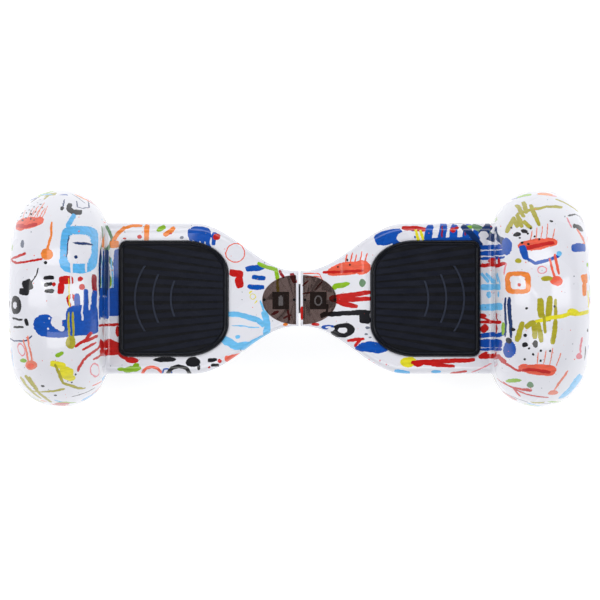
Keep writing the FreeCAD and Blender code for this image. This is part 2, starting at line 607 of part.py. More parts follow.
# --- headlamp ----------------------------------------------------------------------------------------------
def lamp_prism(grow, y):
    """A leaning lamp outline, extruded along Y."""
    x0, x1 = LAMP_X[0] - grow, LAMP_X[1] + grow
    z0, z1 = LAMP_Z[0] - grow, LAMP_Z[1] + grow
    slant = 9.0
    corners = [Vector(x0 + slant, y[0], z0), Vector(x1, y[0], z0), Vector(x1 - slant / 3, y[0], z1),
               Vector(x0, y[0], z1)]
    prism = Part.Face(Part.makePolygon(corners + corners[:1])).extrude(Vector(0, y[1] - y[0], 0))
    upright = [e for e in prism.Edges if e.BoundBox.XLength < 0.01 and e.BoundBox.ZLength < 0.01]
    return prism.makeFillet(3.0, upright)


def headlamp_lens():
    inner_face = BOTTOM_WALL - DECK_HALF_DEPTH
    return fuse(lamp_prism(0.0, (-93.3, inner_face)), lamp_prism(1.6, (inner_face, inner_face + 0.8)))


def headlamp_board():
    board = box((LAMP_X[0] + 2, LAMP_X[1] - 2), (-86.5, -85.3), (LAMP_Z[0] - 3, LAMP_Z[1] + 2))
    chips = [box((x - 1.6, x + 1.6), (-87.5, -86.5), (94.8, 98.0)) for x in range(144, 188, 8)]
    return group(board, *chips)


# --- electronics -------------------------------------------------------------------------------------------
def board_posts():
    return [(x, side * 36.0) for x in (98.0, 178.0) for side in (1, -1)]


def main_board():
    """Control board hung under the casting: capacitors, power transistors on a finned bar, connectors."""
    z = MAIN_BOARD_Z - 1.6
    parts = [box((92, 184), (-42, 42), (z, MAIN_BOARD_Z))]
    parts += [cyl_z(6.2, (z - 22, z), x, -26) for x in (112, 128, 144)]
    parts += [box((106 + 9 * n, 113 + 9 * n), (16, 20.5), (z - 13, z)) for n in range(6)]
    parts += [box((168, 181), (y, y + 10), (z - 9, z)) for y in (-30, -14, 2, 18)]
    parts.append(box((124, 138), (-8, 6), (z - 1.8, z)))
    parts.append(box((96, 102), (-12, 12), (z - 10, z)))
    bar = box((104, 162), (20.5, 24.0), (z - 21, z))
    fins = [box((104, 162), (24.0, 30.0), (z - drop, z - drop + 1.4)) for drop in (21, 16.6, 12.2, 7.8)]
    parts.append(fuse(bar, *fins))
    return group(*parts)


def battery_pack():
    case = box(*BATTERY)
    return case.makeFillet(6.0, [e for e in case.Edges if e.BoundBox.XLength > 50])


def battery_strap():
    """A steel strap under the pack, with feet against the casting's plate."""
    (y0, y1), (z0, z1) = BATTERY[1], (BATTERY[2][0], PLATE_Z[0])
    x, t, play = (135.0, 165.0), 1.5, 0.4
    outer = box(x, (y0 - play - t, y1 + play + t), (z0 - t, z1))
    inner = box((x[0] - 1, x[1] + 1), (y0 - play, y1 + play), (z0, z1 + 1))
    feet = [box(x, (y1 + play, 56.0), (z1 - t, z1)), box(x, (-56.0, y0 - play), (z1 - t, z1))]
    return fuse(outer.cut(inner), *feet)


def centre_cable():
    """The lead between the halves: a straight run on the pivot axis through the tube."""
    run = cyl_x(3.4, (-84.0, 84.0))
    plugs = [box(x, (-7, 7), (AXLE_Z - 6, AXLE_Z + 6)) for x in ((-91.0, -83.0), (83.0, 91.0))]
    return fuse(run, *plugs)


# --- rear fittings -----------------------------------------------------------------------------------------
def power_button():
    """A round cap, level with the switch's ring."""
    middle_y, face_y = SWITCH_SEAT_Y - 3.2, SWITCH_SEAT_Y + 1.6
    stem = cyl_y(5.0, (middle_y - 4.0, middle_y), BUTTON_X, REAR_FITTING_Z)
    cap = cyl_y(7.2, (middle_y, face_y), BUTTON_X, REAR_FITTING_Z)
    return fuse(stem, cap.makeFillet(1.0, [e for e in cap.Edges if e.BoundBox.YMin > face_y - 0.1]))


def power_switch():
    """Panel switch: bezel ring let into the shell, barrel through it and switch block inside."""
    inner_y, face_y = SWITCH_SEAT_Y - 8.6, SWITCH_SEAT_Y + 1.6
    ring = cyl_y(11.0, (SWITCH_SEAT_Y, face_y), BUTTON_X, REAR_FITTING_Z)
    ring = ring.makeFillet(0.6, [e for e in ring.Edges if e.BoundBox.YMin > face_y - 0.1])
    barrel = cyl_y(SWITCH_BARREL, (inner_y, SWITCH_SEAT_Y), BUTTON_X, REAR_FITTING_Z)
    tube = fuse(ring, barrel).cut(cyl_y(7.4, (inner_y, 99), BUTTON_X, REAR_FITTING_Z))
    block_z = (REAR_FITTING_Z - 8.5, REAR_FITTING_Z + 8.5)
    block = box((BUTTON_X - 8.5, BUTTON_X + 8.5), (inner_y - 6.0, inner_y), block_z)
    return fuse(tube, block)


def charge_socket():
    """Three-pin socket; its flange carries the two ears and the pin that the cap swings on."""
    y, z = CAP_HINGE
    seat = SOCKET_SEAT_Y
    flange = cyl_y(11.5, (seat, seat + 2.0), CHARGE_X, REAR_FITTING_Z)
    barrel = cyl_y(SOCKET_BARREL, (seat - 12.5, seat), CHARGE_X, REAR_FITTING_Z)
    strap = box((CHARGE_X - 7, CHARGE_X + 7), (seat, seat + 1.4), (z - 2, REAR_FITTING_Z))
    ears = []
    for x in ((CHARGE_X - 7, CHARGE_X - 4.3), (CHARGE_X + 4.3, CHARGE_X + 7)):
        ears.append(cyl_x(1.5, x, y, z))
        ears.append(box(x, (seat + 0.5, y), (z - 1.5, z + 1.5)))
    pin = cyl_x(0.75, (CHARGE_X - 7, CHARGE_X + 7), y, z)
    front = cyl_y(SOCKET_BORE, (seat - 4.0, seat + 3.5), CHARGE_X, REAR_FITTING_Z)
    rear = cyl_y(5.8, (seat - 9.0, seat - 3.5), CHARGE_X, REAR_FITTING_Z)
    return fuse(flange, barrel, strap, pin, *ears).cut(fuse(front, rear))


def charge_pins():
    pins = []
    for n in range(3):
        a = math.radians(90 + 120 * n)
        x, z = CHARGE_X + 3.2 * math.cos(a), REAR_FITTING_Z + 3.2 * math.sin(a)
        pins.append(cyl_y(0.95, (SOCKET_SEAT_Y - 9.0, SOCKET_SEAT_Y - 4.3), x, z))
    return group(*pins)


def charge_cap():
    """Rubber lid with a hinge tab below and a pull above."""
    y, z = CAP_HINGE
    lid = cyl_y(11.2, (y - 1.1, y + 1.0), CHARGE_X, REAR_FITTING_Z)
    lid = lid.makeFillet(0.8, [e for e in lid.Edges if e.BoundBox.YMin > y + 0.9])
    tab = box((CHARGE_X - 4, CHARGE_X + 4), (y - 0.8, y + 0.8), (z, REAR_FITTING_Z - 8))
    barrel = cyl_x(1.5, (CHARGE_X - 4, CHARGE_X + 4), y, z)
    pull = box((CHARGE_X - 3, CHARGE_X + 3), (y - 0.5, y + 1.0), (REAR_FITTING_Z + 10, REAR_FITTING_Z + 12.4))
    bore = cyl_x(0.8, (CHARGE_X - 9, CHARGE_X + 9), y, z)
    return fuse(lid, tab, barrel, pull).cut(bore)


# --- hub motor and wheel -----------------------------------------------------------------------------------
def arc_through(points):
    a, b, c = [Vector(WHEEL_X + o, 0, AXLE_Z + r) for o, r in points]
    return Part.Arc(a, b, c).toShape()


def tyre():
    crown = [(-20, 116.5), (0, TYRE_RADIUS), (20, 116.5)]
    right = [(20, 116.5), (28, 99.0), (22, BEAD_RADIUS)]
    left = [(-22, BEAD_RADIUS), (-28, 99.0), (-20, 116.5)]
    inner_crown = [(-15.5, 112.0), (0, 118.5), (15.5, 112.0)]
    inner_right = [(15.5, 112.0), (22.6, 98.0), (16.5, BEAD_RADIUS)]
    inner_left = [(-16.5, BEAD_RADIUS), (-22.6, 98.0), (-15.5, 112.0)]
    edges = [arc_through(p) for p in (crown, right, left, inner_crown, inner_right, inner_left)]
    for side in (1, -1):
        foot = [Vector(WHEEL_X + side * o, 0, AXLE_Z + BEAD_RADIUS) for o in (16.5, 22)]
        edges.append(Part.makeLine(*foot))
    face = Part.Face(Part.Wire(Part.__sortEdges__(edges)))
    ring = face.revolve(Vector(0, 0, AXLE_Z), Vector(1, 0, 0), 360)
    grooves = []
    for o, floor in ((-10.0, 119.6), (0.0, 122.4), (10.0, 119.6)):
        x = (WHEEL_X + o - 1.3, WHEEL_X + o + 1.3)
        grooves.append(cyl_x(TYRE_RADIUS + 5, x).cut(cyl_x(floor, x)))
    return ring.cut(Part.makeCompound(grooves))


def hub_rim():
    w = RIM_HALF_WIDTH
    return polygon_revolved([
        (-w, 68), (-w, RIM_RADIUS), (-26, RIM_RADIUS), (-26, BEAD_RADIUS), (-15, BEAD_RADIUS), (-12, 74),
        (12, 74), (15, BEAD_RADIUS), (26, BEAD_RADIUS), (26, RIM_RADIUS), (w, RIM_RADIUS), (w, 68),
    ])


def hub_magnets():
    ring = polygon_revolved([(-16, 64.6), (-16, 68), (16, 68), (16, 64.6)])
    gaps = []
    for n in range(30):
        gap = box((WHEEL_X - 20, WHEEL_X + 20), (-0.5, 0.5), (AXLE_Z + 60, AXLE_Z + 70))
        gap.rotate(Vector(0, 0, AXLE_Z), Vector(1, 0, 0), 12 * n)
        gaps.append(gap)
    return ring.cut(Part.makeCompound(gaps))


def hub_cover_outer():
    face = COVER_FACE
    ring = polygon_revolved([
        (face - 4, 17.5), (19, 17.5), (19, 24), (30, 28), (30, 80), (face - 2, 80), (face, 76), (face, 17.5),
    ])
    disc = cyl_x(17.5, (WHEEL_X + face - 4, WHEEL_X + face))
    cap = cyl_x(24.0, (WHEEL_X + face, WHEEL_X + face + 3))
    cap = cap.makeFillet(2.0, [e for e in cap.Edges if e.BoundBox.XMin > WHEEL_X + face + 2.9])
    windows = []
    for n in range(5):
        ray = box((WHEEL_X + face - 2.2, WHEEL_X + face + 1), (-9, 9), (AXLE_Z + 34, AXLE_Z + 66))
        ray = ray.makeFillet(6.0, [e for e in ray.Edges if e.BoundBox.XLength > 2])
        ray.rotate(Vector(0, 0, AXLE_Z), Vector(1, 0, 0), 72 * n)
        windows.append(ray)
    valve_hole = cyl_x(3.4, (WHEEL_X + 29, WHEEL_X + face + 2), 0, AXLE_Z - VALVE_OFFSET)
    return fuse(ring, disc, cap).cut(Part.makeCompound(windows + [valve_hole]))


def hub_cover_inner():
    face = COVER_FACE
    return polygon_revolved([
        (-face, 11), (4 - face, 11), (4 - face, 17.5), (-19, 17.5), (-19, 24), (-30, 28), (-30, 80),
        (2 - face, 80), (-face, 76),
    ])


def motor_bearings():
    inner, outer, width = BEARING
    rings = []
    for start in (19.5, -19.5 - width):
        a, b = start, start + width
        rings.append(polygon_revolved([
            (a, inner), (a, inner + 2.4), (a + 1, inner + 2.4), (a + 1, outer - 2.6), (a, outer - 2.6),
            (a, outer), (b, outer), (b, outer - 2.6), (b - 1, outer - 2.6), (b - 1, inner + 2.4),
            (b, inner + 2.4), (b, inner),
        ]))
    return group(*rings)


def hub_screws():
    screws = []
    for n in range(8):
        a = math.radians(22.5 + 45 * n)
        y, z = HUB_SCREW_CIRCLE * math.sin(a), AXLE_Z + HUB_SCREW_CIRCLE * math.cos(a)
        for o in (COVER_FACE, -COVER_FACE - 2.2):
            x = WHEEL_X + o
            head = cyl_x(3.6, (x, x + 2.2), y, z)
            key = (x + 1.0, x + 2.6) if o > 0 else (x - 0.4, x + 1.2)
            screws.append(head.cut(cyl_x(1.7, key, y, z)))
    return group(*screws)


def tyre_valve():
    z = AXLE_Z - VALVE_OFFSET
    stem = cyl_x(3.0, (WHEEL_X + RIM_HALF_WIDTH, WHEEL_X + 46), 0, z)
    cap = cyl_x(4.0, (WHEEL_X + 40, WHEEL_X + 49), 0, z).cut(cyl_x(3.0, (WHEEL_X + 30, WHEEL_X + 46), 0, z))
    return group(stem, cap)


def motor_axle():
    bearing_bore = BEARING[0] - RUNNING_CLEARANCE
    parts = [
        cyl_x(bearing_bore, (WHEEL_X - 31.0, WHEEL_X + 30.4)),
        cyl_x(12.0, (WHEEL_X - 18.5, WHEEL_X + 18.5)),
        cyl_x(AXLE_RADIUS, (WHEEL_X - 62.0, WHEEL_X - 31.0)),
        axle_end(),
    ]
    bore = cyl_x(3.4, (CLAMP_X[0] - 4, WHEEL_X - 24))
    return fuse(*parts).cut(bore)


def tooth(width, r, x):
    return box(x, (-width / 2, width / 2), (AXLE_Z + r[0], AXLE_Z + r[1]))


def ring_of(shape, count):
    turned = []
    for n in range(count):
        copy = shape.copy()
        copy.rotate(Vector(0, 0, AXLE_Z), Vector(1, 0, 0), 360.0 * n / count)
        turned.append(copy)
    return turned


def stator_core():
    x = (WHEEL_X - 15, WHEEL_X + 15)
    ring = cyl_x(42.0, x).cut(cyl_x(34.0, x))
    hub = cyl_x(34.0, (WHEEL_X - 5, WHEEL_X + 5)).cut(cyl_x(12.0, x))
    holes = ring_of(cyl_x(6.0, x, 0, AXLE_Z + 23), 6)
    teeth = ring_of(tooth(5.0, (40.0, 63.0), x), STATOR_TEETH)
    tips = ring_of(tooth(11.6, (60.8, 63.0), x), STATOR_TEETH)
    core = ring.fuse(hub.cut(Part.makeCompound(holes)))
    return core.multiFuse(teeth + tips).common(cyl_x(63.8, x))


def stator_windings():
    x = (WHEEL_X - 17.5, WHEEL_X + 17.5)
    coil = tooth(8.4, (44.0, 60.4), x).cut(tooth(5.2, (43.0, 61.0), (WHEEL_X - 15.2, WHEEL_X + 15.2)))
    return group(*ring_of(coil, STATOR_TEETH))


# --- the assembly ------------------------------------------------------------------------------------------
def build():
    upper = top_shell(outer_skin())
    nodes = {
        "top_shell_right": upper,
        "top_shell_left": mirrored(upper),
        "bottom_shell_right": bottom_shell(True),
        "bottom_shell_left": mirrored(bottom_shell(False)),
        "chassis_right": chassis(BUSH_RADIUS, True),
        "chassis_left": mirrored(chassis(TUBE_RADIUS, False)),
        "indicator_module_right": indicator_module(running_sign),
        "indicator_module_left": mirrored(indicator_module(battery_sign)),
        "pivot_tube": pivot_tube(),
        "pivot_sleeve": pivot_sleeve(),
        "pivot_bushes": pivot_bushes(),
        "pivot_circlip": pivot_circlip(),
        "pivot_stop_pin": stop_pin(),
        "main_board": main_board(),
        "battery_pack": mirrored(battery_pack()),
        "battery_strap": mirrored(battery_strap()),
        "centre_cable": centre_cable(),
        "power_button": power_button(),
        "power_switch": power_switch(),
        "charge_socket": charge_socket(),
        "charge_pins": charge_pins(),
        "charge_cap": charge_cap(),
    }
    on_both_sides = {
        "axle_clamp": axle_clamp(),
        "clamp_screws": clamp_screws(),
        "shell_screws": shell_screws(),
        "foot_pad": foot_pad(),
        "sensor_board": sensor_board(),
        "indicator_cover": indicator_cover(),
        "headlamp_lens": headlamp_lens(),
        "headlamp_board": headlamp_board(),
        "tyre": tyre(),
        "tyre_valve": tyre_valve(),
        "hub_rim": hub_rim(),
        "hub_cover_outer": hub_cover_outer(),
        "hub_cover_inner": hub_cover_inner(),
        "hub_screws": hub_screws(),
        "hub_magnets": hub_magnets(),
        "motor_bearings": motor_bearings(),
        "motor_axle": motor_axle(),
        "stator_core": stator_core(),
        "stator_windings": stator_windings(),
    }
    for name, shape in on_both_sides.items():
        nodes[name + "_right"] = shape
        nodes[name + "_left"] = mirrored(shape)
    return nodes


def save(nodes):
    os.makedirs("parts", exist_ok=True)
    for name, shape in sorted(nodes.items()):
        solids = len(shape.Solids)
        print(f"{name}: {solids} solids, valid {shape.isValid()}, {shape.Volume / 1000:.1f} cm3")
        shape.exportStep(f"parts/{name}.step")
    print(len(nodes), "nodes")


save(build())
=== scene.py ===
"""Looks of the self-balancing board: printed gloss shells, rubber, tyres, metals and electronics.

The frame is in metres. The shells' print is laid out in millimetres, as seen from above.
"""

import math

import bpy
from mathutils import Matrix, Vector


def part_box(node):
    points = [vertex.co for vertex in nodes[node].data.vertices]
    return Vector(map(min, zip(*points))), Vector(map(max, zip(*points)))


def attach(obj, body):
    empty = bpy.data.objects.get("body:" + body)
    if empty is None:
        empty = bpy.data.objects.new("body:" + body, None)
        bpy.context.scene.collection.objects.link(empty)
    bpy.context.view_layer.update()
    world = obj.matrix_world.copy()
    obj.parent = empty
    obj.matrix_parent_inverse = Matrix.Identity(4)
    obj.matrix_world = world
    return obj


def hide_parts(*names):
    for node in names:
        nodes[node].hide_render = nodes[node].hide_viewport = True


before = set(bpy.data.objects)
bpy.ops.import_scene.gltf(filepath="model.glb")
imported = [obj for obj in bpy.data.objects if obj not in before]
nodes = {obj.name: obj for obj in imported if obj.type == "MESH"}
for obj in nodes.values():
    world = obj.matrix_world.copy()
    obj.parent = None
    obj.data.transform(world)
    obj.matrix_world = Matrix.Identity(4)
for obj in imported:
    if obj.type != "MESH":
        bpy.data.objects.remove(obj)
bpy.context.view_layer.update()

# --- sizes taken from the frame, in metres ---
TYRE_LOW, TYRE_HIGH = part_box("tyre_right")
WHEEL_X = (TYRE_LOW.x + TYRE_HIGH.x) / 2
AXLE_Z = (TYRE_LOW.z + TYRE_HIGH.z) / 2
TYRE_RADIUS = (TYRE_HIGH.z - TYRE_LOW.z) / 2
TYRE_HALF_WIDTH = (TYRE_HIGH.x - TYRE_LOW.x) / 2
ARCH_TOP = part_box("top_shell_right")[1].z
ARCH_RADIUS = ARCH_TOP - AXLE_Z
ARCH_HALF_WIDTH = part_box("top_shell_right")[1].x - WHEEL_X
BODY_END_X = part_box("bottom_shell_right")[1].x
COVER_EDGE_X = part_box("indicator_cover_right")[0].x
MM = 0.001
SIDES = {"left": -1, "right": 1}      # the sign of x on each side


def colour(red, green, blue):
    """A screen colour, 0 to 255, as the shader's linear colour."""
    parts = []
    for value in (red, green, blue):
        value /= 255
        parts.append(value / 12.92 if value <= 0.04045 else ((value + 0.055) / 1.055) ** 2.4)
    return (*parts, 1.0)


# --- node trees ---
class Tree:
    """Short calls for building the nodes of a material, or of a node group if one is given."""

    def __init__(self, name, group=None):
        if group is None:
            self.material = bpy.data.materials.new(name)
            self.material.use_nodes = True
            group = self.material.node_tree
        self.nodes = group.nodes
        self.links = group.links
        self.nodes.clear()

    def feed(self, socket, value):
        if isinstance(value, bpy.types.NodeSocket):
            self.links.new(value, socket)
        else:
            socket.default_value = value

    def put(self, kind, inputs=None, **settings):
        node = self.nodes.new(kind)
        for key, value in settings.items():
            setattr(node, key, value)
        for key, value in (inputs or {}).items():
            self.feed(node.inputs[key], value)
        return node

    def math(self, operation, a, b=0.0, c=0.0):
        return self.put("ShaderNodeMath", {0: a, 1: b, 2: c}, operation=operation).outputs[0]

    def plus(self, a, b):
        return self.math("ADD", a, b)

    def minus(self, a, b):
        return self.math("SUBTRACT", a, b)

    def times(self, a, b):
        return self.math("MULTIPLY", a, b)

    def absolute(self, a):
        return self.math("ABSOLUTE", a)

    def over(self, a, b):
        """1 where a is greater than b, and 0 elsewhere."""
        return self.math("GREATER_THAN", a, b)

    def under(self, a, b):
        return self.math("LESS_THAN", a, b)

    def vector(self, operation, a, b=(0.0, 0.0, 0.0)):
        node = self.put("ShaderNodeVectorMath", {0: a, 1: b}, operation=operation)
        return node.outputs["Value" if operation in ("LENGTH", "DOT_PRODUCT") else "Vector"]

    def mix(self, factor, a, b):
        return self.put("ShaderNodeMix", {0: factor, 6: a, 7: b}, data_type="RGBA").outputs[2]

    def mix_value(self, factor, a, b):
        return self.put("ShaderNodeMix", {0: factor, 2: a, 3: b}, data_type="FLOAT").outputs[0]

    def join(self, x, y, z=0.0):
        return self.put("ShaderNodeCombineXYZ", {0: x, 1: y, 2: z}).outputs[0]

    def split(self, vector):
        return self.put("ShaderNodeSeparateXYZ", {0: vector}).outputs

    def place(self):
        """The point on the object, in the frame's own axes, in millimetres."""
        point = self.put("ShaderNodeTexCoord").outputs["Object"]
        return self.put("ShaderNodeVectorMath", {0: point, "Scale": 1000.0}, operation="SCALE").outputs[0]

    def stretched(self, point, scale):
        return self.vector("MULTIPLY", point, scale)

    def noise(self, point, size, detail=2.0, roughness=0.5):
        """Noise with features of about that size; outputs the value and a colour."""
        node = self.put(
            "ShaderNodeTexNoise",
            {"Vector": point, "Scale": 1.0 / size, "Detail": detail, "Roughness": roughness},
        )
        return node.outputs["Fac"], node.outputs["Color"]

    def span(self, value, low, high, to_low=0.0, to_high=1.0):
        node = self.put("ShaderNodeMapRange", {0: value, 1: low, 2: high, 3: to_low, 4: to_high})
        return node.outputs[0]

    def bump(self, height, strength, distance):
        return self.put(
            "ShaderNodeBump", {"Height": height, "Strength": strength, "Distance": distance}
        ).outputs[0]

    def finish(self, **sockets):
        """The surface shader; names use _ for a space. Returns the material."""
        shader = self.put("ShaderNodeBsdfPrincipled")
        for name, value in sockets.items():
            self.feed(shader.inputs[name.replace("_", " ")], value)
        output = self.put("ShaderNodeOutputMaterial")
        self.links.new(shader.outputs[0], output.inputs[0])
        return self.material


# --- print: colours and marks ---
SKY = colour(86, 174, 230)
PALE_BLUE = colour(110, 190, 238)
ROYAL = colour(0, 76, 172)
NAVY = colour(2, 44, 100)
CORAL = colour(232, 94, 68)
RED = colour(192, 20, 16)
WINE = colour(142, 18, 32)
ORANGE = colour(234, 130, 48)
OLIVE = colour(168, 160, 38)
YELLOW = colour(226, 216, 40)
LIME = colour(134, 180, 24)
INK = colour(16, 16, 23)
SALMON = colour(230, 128, 104)
PINK = colour(226, 134, 144)
MOSS = colour(100, 136, 100)
ASH = colour(112, 118, 134)
PAPER = colour(222, 222, 230)


def oval(x, y, half_x, half_y, turn=0.0):
    return ("oval", x, y, half_x, half_y, math.radians(turn))


def dot(x, y, radius):
    return oval(x, y, radius, radius)


def dots(radius, *places):
    return [dot(x, y, radius) for x, y in places]


def block(x, y, half_x, half_y, turn=0.0):
    return ("block", x, y, half_x, half_y, math.radians(turn))


def loop(x, y, half_x, half_y, width, turn=0.0):
    """An oval outline."""
    return ("loop", x, y, half_x, half_y, math.radians(turn), width)


def frame_line(x, y, half_x, half_y, width, turn=0.0):
    """A rounded box outline."""
    return ("frame", x, y, half_x, half_y, math.radians(turn), width)


def stroke(width, *points):
    """A brush stroke through the points: one long block from each point to the next."""
    marks = []
    for (x0, y0), (x1, y1) in zip(points, points[1:]):
        marks.append(("line", x0, y0, x1, y1, width))
    return marks


def strokes(width, *pairs):
    return [mark for pair in pairs for mark in stroke(width, *pair)]


# Each entry is a colour and the marks laid down with it, in painting order; left and right half.
PRINT = {"left": [], "right": []}

